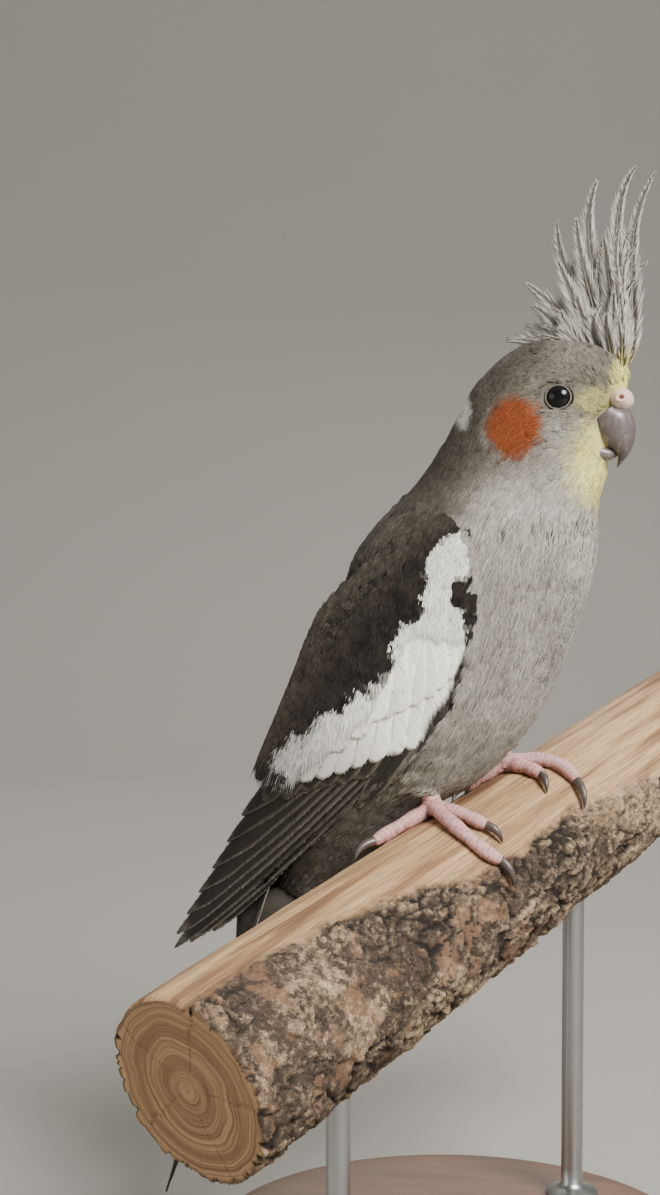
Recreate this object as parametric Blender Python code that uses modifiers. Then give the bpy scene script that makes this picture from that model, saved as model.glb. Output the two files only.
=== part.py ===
"""Cockatiel, life size, gripping a cut length of branch on a plain display stand.

The bird looks along +X, its right side is toward -Y, and +Z is up. Its profiles are written in
millimetres in the bird's own frame, whose origin lies midway between the feet on top of the
branch. An empty lifts that frame above the floor, and the bird and its branch hang from it.
"""

import math
import random

import bmesh
import bpy
from mathutils import Matrix, Vector

MM = 0.001
GAP = 0.3
SLIVER = 0.01
SEED = 11

# Heights and sizes of the stand and the branch
BIRD_HEIGHT = 150.0
BASE_RADIUS = 80.0
BASE_THICKNESS = 12.0
BASE_BEVEL = 1.5
ROD_RADIUS = 3.5
ROD_STATIONS = {"front": 60.0, "back": -60.0}
BRANCH_RADIUS = 24.4
BRANCH_TAPER = 0.0192
BRANCH_ENDS = (-122.0, 136.0)
BRANCH_MIDDLE = Vector((5.0, -10.3, -28.1))
BRANCH_DIRECTION = Vector((0.437, 0.850, 0.296)).normalized()
BRANCH_SIDES = 22
BRANCH_RINGS = 15
# Edge of the bark in degrees from the branch's top, at places along it
BARK_EDGE = ((-100.0, 17.0), (-50.0, 29.0), (-5.0, 55.0), (45.0, 62.0), (100.0, 74.0))
BARK_UNDER_END = 300.0
BARK_DEPTH = 1.2
BARK_ROUGHNESS = 0.7
GRIP_MIDDLE = 18.0
GRIP_HALF_LENGTH = 50.0

# Lengths of the bird
TAIL_LENGTH = 150.0
EYE_RADIUS = 4.5
EYE_OPENING = 3.4
TOE_RADIUS = 2.15
CLAW_RADIUS = 1.25
SHANK_CLEAR = 3.5

# Body sections from crown to tail root: back point x z, front point x z, half width
BODY = (
    (25.0, 137.9, 41.0, 137.2, 4.8),
    (19.5, 136.2, 47.6, 134.8, 9.2),
    (14.5, 133.2, 51.6, 131.2, 12.0),
    (9.8, 129.0, 53.4, 126.4, 14.3),
    (5.6, 124.0, 52.6, 121.2, 15.9),
    (2.4, 118.5, 49.6, 115.6, 16.9),
    (-0.6, 112.4, 48.4, 109.4, 17.6),
    (-3.6, 107.0, 47.9, 103.6, 18.4),
    (-7.0, 101.4, 46.6, 99.0, 19.6),
    (-13.5, 93.2, 44.2, 91.0, 22.4),
    (-24.2, 82.0, 43.4, 79.5, 25.0),
    (-32.4, 70.4, 42.2, 69.5, 26.0),
    (-35.6, 56.5, 38.6, 57.0, 26.3),
    (-40.2, 44.0, 34.4, 44.2, 25.8),
    (-44.4, 31.5, 28.4, 30.2, 24.8),
    (-47.6, 20.0, 20.6, 18.6, 23.3),
    (-49.8, 10.0, 9.0, 6.6, 22.0),
    (-51.2, 1.0, -6.0, -3.0, 19.8),
    (-53.2, -8.5, -20.5, -14.5, 16.6),
    (-55.6, -18.0, -31.5, -25.5, 13.0),
    (-58.4, -27.5, -41.0, -36.0, 9.6),
)
CROWN = (33.0, 138.4)
NECK_TOP = 8.0
NECK_BOTTOM = 9.0
BODY_END = 20.0
# The face narrows to the bill: it starts and ends at these x, and fades over these heights
FACE_TAPER = 0.5
FACE_TAPER_X = (33.0, 47.0)
FACE_TAPER_FOOT = (94.0, 104.0)
FACE_TAPER_TOP = (124.0, 134.0)
PARTING = 0.026
BODY_SIDES = 24

# Folded wing, seen from the side: along is the line from shoulder to tip, across points dorsally
SHOULDER = Vector((4.0, 0.0, 84.0))
WING_TIP = Vector((-92.0, 0.0, -52.0))
WING_ALONG = (WING_TIP - SHOULDER).normalized()
WING_ACROSS = Vector((WING_ALONG.z, 0.0, -WING_ALONG.x))
# Stations: along, low edge, top edge, crest of the bulge, and distance from the middle plane
# at the crest, the top edge and the low edge
WING = (
    (-3.5, -2.5, 2.5, -0.5, 23.5, 23.0, 23.4),
    (8.0, -16.5, 8.0, -4.0, 24.9, 20.0, 24.2),
    (23.0, -27.0, 13.0, -7.0, 25.7, 15.5, 24.0),
    (40.0, -33.0, 18.0, -9.0, 25.2, 7.0, 22.0),
    (55.0, -33.0, 17.5, -9.0, 24.0, 4.2, 21.3),
    (70.0, -30.0, 14.0, -9.0, 22.5, 3.2, 20.3),
    (91.0, -24.0, 9.5, -7.0, 19.0, 2.6, 17.6),
    (112.0, -18.0, 5.5, -5.0, 15.0, 2.4, 14.2),
    (135.0, -14.0, 3.0, -4.0, 11.0, 2.4, 10.4),
    (155.0, -8.5, 1.5, -3.0, 7.8, 3.0, 7.6),
    (170.0, -4.0, 1.0, -1.0, 6.0, 4.0, 5.8),
)
WING_CORE_END = 62.0
WING_FACET_SAG = 0.5
VANE_THICKNESS = 0.65
VANE_LOWEST = 0.3
# Ring of a vane: place across it from -1 to 1 and height in thicknesses
VANE_SECTION = ((1, 0.85), (0, 1.15), (-1, 0.85), (-1, 0.0), (0, 0.2), (1, 0.0))
WING_EDGE = 0.5
COVERT_TIPS = ((55.0, -29.5), (63.5, -28.0), (71.5, -23.0), (79.5, -17.0),
               (87.0, -11.5), (94.0, -5.5), (101.0, 1.0))
PRIMARY_TIPS = ((156.0, -6.0), (164.5, -2.0), (158.5, -0.5), (147.0, 0.8),
                (133.0, 2.0), (117.0, 3.5))

# Crest feathers from front to back: x z of the base, of two bends and of the tip, the tip's
# distance from the middle plane, and half the width
CREST = (
    (51.4, 128.6, 57.0, 148.0, 47.4, 168.0, 60.2, 188.1, 0.5, 2.3),
    (50.2, 129.0, 51.4, 152.0, 44.0, 176.0, 54.2, 189.0, -1.5, 2.6),
    (51.0, 129.0, 54.2, 146.0, 49.2, 160.0, 50.2, 172.5, 2.2, 2.4),
    (48.6, 129.6, 49.8, 144.0, 46.0, 156.0, 45.2, 168.5, -2.6, 2.6),
    (47.0, 130.2, 45.0, 148.0, 35.6, 170.0, 42.6, 185.9, 0.6, 2.9),
    (46.2, 130.4, 43.2, 146.0, 37.4, 160.0, 36.7, 174.4, -1.8, 2.6),
    (44.6, 131.0, 42.6, 144.0, 30.4, 157.0, 30.4, 173.9, 1.6, 2.9),
    (43.4, 131.2, 39.6, 143.0, 35.0, 152.0, 31.4, 162.0, -2.6, 2.6),
    (41.8, 131.6, 38.6, 141.0, 30.0, 149.0, 21.7, 155.6, 0.4, 2.6),
    (40.0, 132.0, 35.6, 138.0, 29.6, 145.0, 24.0, 148.6, -2.0, 2.3),
    (37.4, 132.6, 33.4, 136.6, 28.0, 141.0, 21.4, 142.6, 0.8, 2.2),
    (33.4, 133.2, 28.8, 136.4, 22.8, 139.6, 16.0, 138.6, -0.6, 2.0),
)

# Ring of a crest feather: place across it from -1 to 1 and height in thicknesses
CREST_SECTION = ((1, 0.45), (0, 0.7), (-1, 0.45), (-1, -0.45), (0, -0.3), (1, -0.45))

# Bill sections from the face to the hook: ridge x z, cutting edge x z, half width
BEAK_UPPER = (
    (49.5, 119.5, 41.5, 112.5, 6.2),
    (53.2, 117.0, 42.8, 110.0, 6.2),
    (54.6, 112.5, 44.8, 107.0, 5.6),
    (54.4, 108.2, 47.6, 105.4, 4.4),
    (52.8, 104.2, 49.4, 103.8, 2.7),
    (50.6, 101.4, 49.4, 101.8, 0.9),
)
BEAK_TIP = (49.2, 100.0)
BEAK_LOWER = (
    (42.0, 109.6, 40.5, 102.6, 5.2),
    (45.6, 107.0, 44.2, 101.6, 4.7),
    (48.4, 105.6, 47.2, 102.0, 3.4),
    (49.6, 104.2, 48.8, 102.9, 1.5),
)
LOWER_TIP = (49.5, 103.4)
CERE_CENTRE = (50.4, 0.0, 120.4)
CERE_RADII = (3.9, 6.6, 4.0)
NOSTRIL = (50.6, 5.6, 120.8)
NOSTRIL_RADIUS = 0.9
EYE_CENTRE = (33.6, 12.0, 120.7)

# Toes as angle round the branch from its top (degrees) and place along it: past the root, at
# the end, and at the claw's tip
FEET = {
    "right": {
        "hub": (-11.9, -0.1),
        "toes": (
            ((26.0, -8.6), (56.0, -6.2), (73.0, -6.9)),
            ((12.0, -1.0), (31.5, 0.2), (46.0, 0.7)),
            ((-22.0, -9.0), (-27.0, -22.0), (-34.0, -29.0)),
            ((-34.0, -2.0), (-58.0, 1.0), (-77.0, 0.0)),
        ),
    },
    "left": {
        "hub": (-9.5, 35.6),
        "toes": (
            ((14.0, 43.0), (42.0, 42.4), (60.0, 37.8)),
            ((5.0, 35.4), (23.0, 34.9), (35.0, 30.2)),
            ((-18.0, 27.6), (-14.0, 17.6), (-15.0, 9.5)),
            ((-32.0, 37.0), (-55.0, 38.5), (-73.0, 36.0)),
        ),
    },
}

COLOURS = {
    "head": (0.34, 0.33, 0.28), "neck": (0.33, 0.31, 0.27), "torso": (0.36, 0.34, 0.30),
    "wing": (0.09, 0.08, 0.075), "tail": (0.11, 0.105, 0.10), "thigh": (0.34, 0.33, 0.28),
    "foot": (0.50, 0.32, 0.30), "claw": (0.06, 0.05, 0.045), "eye": (0.01, 0.008, 0.007),
    "cere": (0.66, 0.56, 0.53), "beak": (0.36, 0.31, 0.31), "perch": (0.42, 0.30, 0.19),
    "stand": (0.10, 0.06, 0.035),
}
ROUGHNESS = {"eye": 0.08, "beak": 0.35, "claw": 0.4, "stand": 0.45}


def clear_scene():
    """Empty the file of the objects that it opens with."""
    for obj in list(bpy.data.objects):
        bpy.data.objects.remove(obj, do_unlink=True)


def new_collection(name):
    """Collection linked under the scene."""
    group = bpy.data.collections.new(name)
    bpy.context.scene.collection.children.link(group)
    return group


def material(kind):
    """Principled surface in the part's own colour, shared by the parts of one kind."""
    found = bpy.data.materials.get(kind)
    if found:
        return found
    made = bpy.data.materials.new(kind)
    made.use_nodes = True
    shader = made.node_tree.nodes["Principled BSDF"]
    shader.inputs["Base Color"].default_value = (*COLOURS[kind], 1.0)
    shader.inputs["Roughness"].default_value = ROUGHNESS.get(kind, 0.8)
    shader.inputs["Metallic"].default_value = 0.0
    return made


def smooth_value(x, xs, ys):
    """Value at x of the smooth curve through the points, flat beyond its ends."""
    if x <= xs[0]:
        return ys[0]
    if x >= xs[-1]:
        return ys[-1]
    i = next(k for k in range(len(xs) - 1) if xs[k] <= x <= xs[k + 1])
    width = xs[i + 1] - xs[i]

    def slope(k):
        before = max(k - 1, 0)
        after = min(k + 1, len(xs) - 1)
        return (ys[after] - ys[before]) / (xs[after] - xs[before])

    t = (x - xs[i]) / width
    a = ys[i] * (2 * t ** 3 - 3 * t ** 2 + 1) + ys[i + 1] * (3 * t ** 2 - 2 * t ** 3)
    b = slope(i) * (t ** 3 - 2 * t ** 2 + t) + slope(i + 1) * (t ** 3 - t ** 2)
    return a + b * width


def table_row(table, x):
    """Smoothly interpolated row of a table whose first column is x."""
    xs = [row[0] for row in table]
    return [smooth_value(x, xs, [row[k] for row in table]) for k in range(1, len(table[0]))]


def mesh_object(name, points, faces, group):
    """Closed object with its faces pointing out, from points in millimetres."""
    mesh = bpy.data.meshes.new(name)
    mesh.from_pydata([tuple(c * MM for c in p) for p in points], [], faces)
    shape = bmesh.new()
    shape.from_mesh(mesh)
    if shape.calc_volume(signed=True) < 0:
        bmesh.ops.reverse_faces(shape, faces=shape.faces)
    shape.to_mesh(mesh)
    shape.free()
    obj = bpy.data.objects.new(name, mesh)
    group.objects.link(obj)
    return obj


def ring_faces(rings):
    """Points of a stack of like rings, and the four-sided faces between them."""
    count = len(rings[0])
    points = [p for ring in rings for p in ring]
    faces = []
    for r in range(len(rings) - 1):
        for k in range(count):
            n = (k + 1) % count
            faces.append((r * count + k, r * count + n, (r + 1) * count + n, (r + 1) * count + k))
    return points, faces


def loft(name, rings, group, start_tip=None, end_tip=None):
    """Closed skin through rings of like points, its ends fanned from a tip or their middle."""
    count = len(rings[0])
    points, faces = ring_faces(rings)
    for ring_index, tip in ((0, start_tip), (len(rings) - 1, end_tip)):
        ring = rings[ring_index]
        points.append(Vector(tip) if tip is not None else sum(ring, Vector()) / count)
        centre = len(points) - 1
        first = ring_index * count
        for k in range(count):
            pair = (first + (k + 1) % count, first + k)
            faces.append((centre, *pair) if ring_index == 0 else (centre, pair[1], pair[0]))
    return mesh_object(name, points, faces, group)


def inflated(obj, distance, group):
    """Copy of a closed object grown outward by a distance in millimetres, for use as a cutter."""
    mesh = obj.data.copy()
    shape = bmesh.new()
    shape.from_mesh(mesh)
    shape.normal_update()
    moves = [(v, v.normal * v.calc_shell_factor() * distance * MM) for v in shape.verts]
    for vert, move in moves:
        vert.co += move
    shape.to_mesh(mesh)
    shape.free()
    grown = bpy.data.objects.new(obj.name + ".grown", mesh)
    grown.matrix_world = obj.matrix_world
    group.objects.link(grown)
    grown.hide_render = True
    grown.display_type = "WIRE"
    return grown


def is_closed(mesh):
    """True when every edge has two faces and the mesh holds some volume."""
    shape = bmesh.new()
    shape.from_mesh(mesh)
    sound = len(shape.faces) > 3 and all(len(e.link_faces) == 2 for e in shape.edges)
    sound = sound and shape.calc_volume(signed=True) > 0
    shape.free()
    return sound


def keep_largest_surface(obj):
    """Drop every closed surface of a mesh but the one that holds the most volume."""
    shape = bmesh.new()
    shape.from_mesh(obj.data)
    unseen = set(shape.faces)
    islands = []
    while unseen:
        stack = [unseen.pop()]
        island = set(stack)
        while stack:
            for edge in stack.pop().edges:
                for face in edge.link_faces:
                    if face in unseen:
                        unseen.discard(face)
                        island.add(face)
                        stack.append(face)
        islands.append(island)

    def volume(island):
        total = 0.0
        for face in island:
            corner = face.verts[0].co
            for a, b in zip(face.verts[1:-1], face.verts[2:]):
                total += corner.dot(a.co.cross(b.co))
        return total

    islands.sort(key=volume, reverse=True)
    loose = [face for island in islands[1:] for face in island]
    bmesh.ops.delete(shape, geom=loose, context="FACES")
    shape.to_mesh(obj.data)
    bmesh.ops.dissolve_degenerate(shape, dist=SLIVER * MM, edges=shape.edges)
    if all(len(edge.link_faces) == 2 for edge in shape.edges):
        shape.to_mesh(obj.data)
    shape.free()


def apply_boolean(obj, operation, others):
    """Join or cut an object with a list of closed objects, then remove those objects."""
    group = new_collection(obj.name + ".tools")
    for other in others:
        group.objects.link(other)
    before = obj.data
    for solver in ("EXACT", "MANIFOLD"):
        change = obj.modifiers.new("join", "BOOLEAN")
        change.operation = operation
        change.operand_type = "COLLECTION"
        change.collection = group
        change.solver = solver
        view = bpy.context.evaluated_depsgraph_get()
        result = bpy.data.meshes.new_from_object(obj.evaluated_get(view))
        obj.modifiers.remove(change)
        if is_closed(result):
            break
    obj.data = result
    bpy.data.meshes.remove(before)
    for other in list(group.objects):
        bpy.data.objects.remove(other, do_unlink=True)
    bpy.data.collections.remove(group)
    keep_largest_surface(obj)


def finish(obj, kind, parent):
    """Give a finished part its material, its parent and smooth faces with sharp edges."""
    obj.data.materials.clear()
    obj.data.materials.append(material(kind))
    obj.data.shade_smooth()
    obj.data.set_sharp_from_angle(angle=math.radians(40))
    obj.parent = parent
    return obj


def section_ring(back, front, half_width, sides, egg=0.0, power=2.2):
    """Rounded ring between a back and a front point of the middle plane."""
    back = Vector((back[0], 0.0, back[1]))
    front = Vector((front[0], 0.0, front[1]))
    centre = (back + front) / 2
    ring = []
    for k in range(sides):
        turn = math.tau * k / sides
        reach = math.copysign(abs(math.cos(turn)) ** (2 / power), math.cos(turn))
        wide = math.copysign(abs(math.sin(turn)) ** (2 / power), math.sin(turn))
        point = centre + (back - centre) * reach
        point.y = half_width * wide * (1 + egg * reach)
        ring.append(point)
    return ring


def smooth_share(value, low, high):
    """Smooth rise from 0 at low to 1 at high."""
    share = min(1.0, max(0.0, (value - low) / (high - low)))
    return share * share * (3.0 - 2.0 * share)


def face_width(point):
    """Share of its width that the body keeps at a point, less where the face meets the bill."""
    taper = FACE_TAPER * smooth_share(point.x, *FACE_TAPER_X)
    taper *= smooth_share(point.z, *FACE_TAPER_FOOT)
    return 1.0 - taper * (1.0 - 0.5 * smooth_share(point.z, *FACE_TAPER_TOP))


def body_ring(station):
    """Ring of the body at a station counted in sections, smooth between them."""
    xs = list(range(len(BODY)))
    row = [smooth_value(station, xs, [section[k] for section in BODY]) for k in range(5)]
    egg = 0.12 * max(0.0, 1 - station / NECK_BOTTOM)
    ring = section_ring(row[0:2], row[2:4], row[4], BODY_SIDES, egg)
    for point in ring:
        point.y *= face_width(point)
    return ring


def body_length(name, start, end, group, start_tip=None):
    """Stretch of the body between two stations, with a ring at each whole one between."""
    stations = [start]
    stations += [s for s in range(len(BODY)) if start < s < end]
    stations.append(end)
    return loft(name, [body_ring(s) for s in stations], group, start_tip=start_tip)


def frame_along(path, k, up):
    """Side and up vectors square to a path at one of its points."""
    ahead = path[min(k + 1, len(path) - 1)] - path[max(k - 1, 0)]
    ahead.normalize()
    side = up.cross(ahead)
    side.normalize()
    return side, ahead.cross(side)


def tube(name, path, radii, group, sides=8, end_tip=None, up=Vector((0.0, 0.0, 1.0))):
    """Round skin along a path with a radius for each point."""
    rings = []
    for k, point in enumerate(path):
        side, top = frame_along(path, k, up)
        turns = [math.tau * j / sides for j in range(sides)]
        rings.append([point + (side * math.cos(a) + top * math.sin(a)) * radii[k] for a in turns])
    return loft(name, rings, group, end_tip=end_tip)


def branch_frame():
    """Middle of the branch, and its along, top and forward vectors."""
    along = BRANCH_DIRECTION
    top = (Vector((0.0, 0.0, 1.0)) - along * along.z).normalized()
    forward = along.cross(top)
    return BRANCH_MIDDLE, along, top, forward


def branch_radius(place):
    """Radius of the bare branch at a place along it."""
    return BRANCH_RADIUS - BRANCH_TAPER * place


def bark_height(degrees, place):
    """Height of the bark over the bare wood, rising over a few degrees at its edge."""
    edge = smooth_value(place, *zip(*BARK_EDGE))
    turned = degrees % 360.0
    if turned > BARK_UNDER_END:
        return 0.0
    return BARK_DEPTH * min(1.0, max(0.0, (turned - edge + 8.0) / 16.0))


def branch_point(degrees, place, height):
    """Point at a height over the branch's surface, by angle from its top and place along it."""
    middle, along, top, forward = branch_frame()
    turn = math.radians(degrees)
    out = top * math.cos(turn) + forward * math.sin(turn)
    reach = branch_radius(place) + bark_height(degrees, place) + height
    return middle + along * place + out * reach


def make_perch(name, group):
    """Cut length of branch: bare wood on top, bark on the near side, smooth under the feet."""
    draw = random.Random(SEED)
    low, high = BRANCH_ENDS
    rings = []
    for r in range(BRANCH_RINGS):
        place = low + (high - low) * r / (BRANCH_RINGS - 1)
        past_grip = (abs(place - GRIP_MIDDLE) - GRIP_HALF_LENGTH) / 12.0
        ring = []
        for k in range(BRANCH_SIDES):
            degrees = 360.0 * k / BRANCH_SIDES
            rough = draw.uniform(-1.0, 1.0) * BARK_ROUGHNESS
            if bark_height(degrees, place) == 0.0:
                rough *= 0.4
            if not 110.0 < degrees < 250.0:
                rough *= min(1.0, max(0.0, past_grip))
            ring.append(branch_point(degrees, place, rough))
        rings.append(ring)
    return loft(name, rings, group)


def wing_row(along):
    """Low edge, top edge, crest and the three distances from the middle plane."""
    return table_row(WING, along)


def wing_surface(along, across):
    """Point of the right wing's inner face at a place in the folded wing."""
    low, top, crest, out_crest, out_top, out_low = wing_row(along)
    if across > crest:
        share = min(1.0, (top - across) / (top - crest))
        share = max(share, -0.15)
        out = out_top + (out_crest - out_top) * math.sin(share * math.pi / 2)
    else:
        share = (crest - across) / (crest - low)
        out = out_crest - (out_crest - out_low) * share ** 2
    point = SHOULDER + WING_ALONG * along + WING_ACROSS * across
    point.y = -out
    return point


def wing_point(along, across, height):
    """Point at a height outside the right wing's inner face."""
    step = 0.5
    here = wing_surface(along, across)
    run_along = wing_surface(along + step, across) - wing_surface(along - step, across)
    run_across = wing_surface(along, across + step) - wing_surface(along, across - step)
    out = run_along.cross(run_across).normalized()
    if out.y > 0:
        out.negate()
    return here + out * height


def wing_slab(name, places, inner, outer, group, margin=0.0, steps=7):
    """Closed slab between two heights over the wing's inner face, rounded to its edges."""
    rings = []
    for along in places:
        low, top = wing_row(along)[0:2]
        low -= margin
        top += margin
        turns = [low + (top - low) * k / (steps - 1) for k in range(steps)]
        shares = [math.sin(math.pi * k / (steps - 1)) for k in range(steps)]
        upper = [wing_point(along, across, outer(share)) for across, share in zip(turns, shares)]
        under = [wing_point(along, across, inner) for across in reversed(turns)]
        rings.append(upper + under)
    points, faces = ring_faces(rings)
    last = (len(rings) - 1) * 2 * steps
    for k in range(steps - 1):
        strip = (k, 2 * steps - 1 - k, 2 * steps - 2 - k, k + 1)
        faces.append(strip)
        faces.append(tuple(last + corner for corner in reversed(strip)))
    return mesh_object(name, points, faces, group)


def wing_vane(name, root, tip, width, height, tilt, group, bow=0.0, pointed=False):
    """Feather of the right wing, shingled: its low edge is raised and its top edge tucked in."""
    shares = (0.0, 0.5, 0.88, 1.0)
    shape = (0.85, 1.0, 0.85, 0.3)
    if pointed:
        shares = (0.0, 0.3, 0.62, 0.88, 1.0)
        shape = (0.8, 1.0, 0.95, 0.55, 0.12)
    run = Vector((tip[0] - root[0], tip[1] - root[1]))
    square = Vector((-run.y, run.x)).normalized()
    rings = []
    for share, part in zip(shares, shape):
        middle = Vector(root) + run * share + square * bow * math.sin(math.pi * share)
        half = width * part
        low, top = wing_row(middle.x)[0:2]
        low -= WING_EDGE
        top += WING_EDGE
        half = min(half, (top - low) / 2)
        middle.y = min(max(middle.y, low + half * square.y), top - half * square.y)
        ring = []
        for offset, lift in VANE_SECTION:
            place = middle + square * half * offset
            place.y = min(max(place.y, low - WING_EDGE), top + WING_EDGE)
            level = max(height - tilt * half * offset, VANE_LOWEST) + lift * VANE_THICKNESS
            ring.append(wing_point(place.x, place.y, level))
        rings.append(ring)
    return close_vane(name, rings, group)


def close_vane(name, rings, group):
    """Close rings of three points over three, both faces split alike, so that none cross."""
    points = [p for ring in rings for p in ring]
    faces = []
    for r in range(len(rings) - 1):
        a = r * 6
        b = a + 6
        for left, right in ((0, 1), (1, 2)):
            faces += [(a + left, a + right, b + right), (a + left, b + right, b + left)]
        for left, right in ((5, 4), (4, 3)):
            faces += [(a + left, b + right, a + right), (a + left, b + left, b + right)]
        faces += [(a + 5, a, b), (a + 5, b, b + 5), (a + 2, a + 3, b + 3), (a + 2, b + 3, b + 2)]
    last = (len(rings) - 1) * 6
    for corners in ((0, 5, 4), (0, 4, 1), (1, 4, 3), (1, 3, 2)):
        faces.append(corners)
        faces.append(tuple(last + corner for corner in reversed(corners)))
    return mesh_object(name, points, faces, group)


def mirrored(obj, name, group):
    """Copy of an object on the other side of the middle plane."""
    mesh = obj.data.copy()
    mesh.transform(Matrix.Scale(-1.0, 4, (0.0, 1.0, 0.0)))
    mesh.flip_normals()
    copy = bpy.data.objects.new(name, mesh)
    group.objects.link(copy)
    return copy


def make_wing_bed(group):
    """Cutter that clears the flank under the right wing."""
    places = (-5.0, 0.5, 5.0, 12.0, 22.0, 36.0, 50.0, 70.0, 91.0, 112.0, 135.0, 155.0, 170.0)
    depth = GAP + WING_FACET_SAG
    return wing_slab("wing_bed", places, -depth, lambda share: 30.0, group, margin=1.1, steps=11)


def lerp(a, b, share):
    """Point between two points of the folded wing."""
    return tuple(x + (y - x) * share for x, y in zip(a, b))


def make_right_wing(group):
    """Right wing: a core under the small coverts, and flight feathers and coverts in tiers."""
    places = (-3.5, 0.5, 5.0, 12.0, 22.0, 36.0, 50.0, WING_CORE_END)
    core = wing_slab("wing_right", places, 0.0, lambda share: 0.8 + 1.7 * share, group, steps=7)
    vanes = []
    for k, tip in enumerate(PRIMARY_TIPS):
        root = (50.0, -28.6 + 3.0 * k)
        vanes.append(wing_vane("primary", root, tip, 4.5, 0.75, 0.15, group, pointed=True))
    for k in range(4):
        root = lerp((34.0, -22.0), (44.0, 8.0), k / 3)
        tip = lerp((72.0, -28.0), (106.0, -1.0), k / 3)
        vanes.append(wing_vane("secondary", root, tip, 6.2, 1.25, 0.075, group))
    for k, tip in enumerate(COVERT_TIPS):
        root = lerp((24.0, -17.0), (72.0, 3.0), k / 6)
        vanes.append(wing_vane("greater_covert", root, tip, 5.1, 1.95, 0.08, group))
    for k in range(5):
        tip = lerp((34.0, -10.0), (90.0, -1.0), k / 4)
        root = lerp((12.0, -3.0), (66.0, 4.0), k / 4)
        vanes.append(wing_vane("median_covert", root, tip, 6.0, 2.55, 0.07, group))
    for k in range(3):
        root = lerp((44.0, 5.0), (26.0, 9.0), k / 2)
        tip = lerp((101.0, 5.0), (60.0, 15.0), k / 2)
        vanes.append(wing_vane("tertial", root, tip, 5.8, 2.5, 0.06, group))
    apply_boolean(core, "UNION", vanes)
    return core


def make_tail(group):
    """Tail: a root that leaves the body, and twelve graduated feathers stacked like shingles."""
    down = Vector((-0.342, 0.0, -0.940)).normalized()
    dorsal = Vector((-0.940, 0.0, 0.342))
    side = Vector((0.0, 1.0, 0.0))
    start = Vector((-46.0, 0.0, 8.0))
    rings = [body_ring(BODY_END + 0.0)]
    step = GAP * down
    first = [p + step for p in rings[0]]
    middle = sum(first, Vector()) / len(first)
    rings = [first]
    for share, scale in ((0.4, 0.82), (1.0, 0.45)):
        centre = start + down * (52.0 + 16.0 * share) - dorsal * 1.0
        blend = [centre + (p - middle) * scale for p in first]
        rings.append(blend)
    core = loft("tail", rings, group)
    vanes = []
    for k in range(6):
        for sign in (-1.0, 1.0):
            length = TAIL_LENGTH - 11.0 * k - (3.0 if sign > 0 and k == 0 else 0.0)
            if k == 0:
                shares = (0.31, 0.5, 0.75, 0.92, 1.0)
                shape = (0.9, 1.0, 0.8, 0.42, 0.1)
            else:
                shares = (44.5 / length, 0.6, 0.85, 0.96, 1.0)
                shape = (0.9, 1.0, 0.85, 0.55, 0.14)
            half = 5.2 if k == 0 else 4.6
            rings = []
            for share, part in zip(shares, shape):
                spread = (0.9 + 1.55 * k) * (0.55 + 0.65 * share)
                bend = -4.0 * share * share
                middle = start + down * length * share + side * sign * spread + dorsal * bend
                depth = 1.0 - 0.62 * k + (0.45 if sign > 0 else 0.0)
                ring = []
                for offset, lift in VANE_SECTION:
                    tilt = -0.1 * sign * offset * half * part
                    level = depth + lift * VANE_THICKNESS * 1.1 + tilt
                    ring.append(middle + side * offset * half * part + dorsal * level)
                rings.append(ring)
            vanes.append(close_vane("tail_feather", rings, group))
    apply_boolean(core, "UNION", vanes)
    return core


def crest_feather(row, group):
    """One crest feather, narrow and curled, rooted in the crown."""
    out_tip, width = row[8:10]
    base = Vector((row[0], out_tip * 0.4, row[1]))
    first = Vector((row[2], out_tip * 0.6, row[3]))
    second = Vector((row[4], out_tip * 0.8, row[5]))
    tip = Vector((row[6], out_tip, row[7]))
    rings = []
    shape = (0.6, 0.95, 1.0, 0.62, 0.3, 0.08)
    for share, part in zip((0.0, 0.25, 0.5, 0.75, 0.9, 1.0), shape):
        rest = 1 - share
        here = (base * rest ** 3 + first * 3 * share * rest ** 2
                + second * 3 * share ** 2 * rest + tip * share ** 3)
        ahead = ((first - base) * rest ** 2 + (second - first) * 2 * share * rest
                 + (tip - second) * share ** 2).normalized()
        out = Vector((0.0, 1.0, 0.0))
        across = ahead.cross(out).normalized()
        half = width * part
        thick = 1.1 * (0.55 + 0.45 * part)
        rings.append([here + across * half * side + out * thick * level
                      for side, level in CREST_SECTION])
    return close_vane("crest_feather", rings, group)


def make_lid(sign, group):
    """Ring of bare skin round one eye."""
    bpy.ops.mesh.primitive_torus_add(
        major_segments=14, minor_segments=4, major_radius=(EYE_OPENING + 0.75) * MM,
        minor_radius=0.8 * MM, rotation=(math.pi / 2, 0.0, 0.0))
    lid = bpy.context.object
    outward = EYE_CENTRE[1] + math.sqrt(EYE_RADIUS ** 2 - EYE_OPENING ** 2) - 0.1
    lid.data.transform(lid.matrix_basis.to_3x3().to_4x4())
    lid.matrix_basis = Matrix.Identity(4)
    lid.data.transform(Matrix.Translation(
        Vector((EYE_CENTRE[0], sign * outward, EYE_CENTRE[2])) * MM))
    move_to(lid, group)
    return lid


def move_to(obj, group):
    """Leave only one collection holding an object."""
    for other in list(obj.users_collection):
        other.objects.unlink(obj)
    group.objects.link(obj)


def make_ball(name, centre, radii, group, segments=12, rings=8):
    """Ellipsoid from a sphere, its mesh in the bird's frame."""
    bpy.ops.mesh.primitive_uv_sphere_add(segments=segments, ring_count=rings, radius=1.0)
    ball = bpy.context.object
    ball.name = name
    ball.data.transform(Matrix.Diagonal((*[r * MM for r in radii], 1.0)))
    ball.data.transform(Matrix.Translation(Vector(centre) * MM))
    move_to(ball, group)
    return ball


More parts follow.
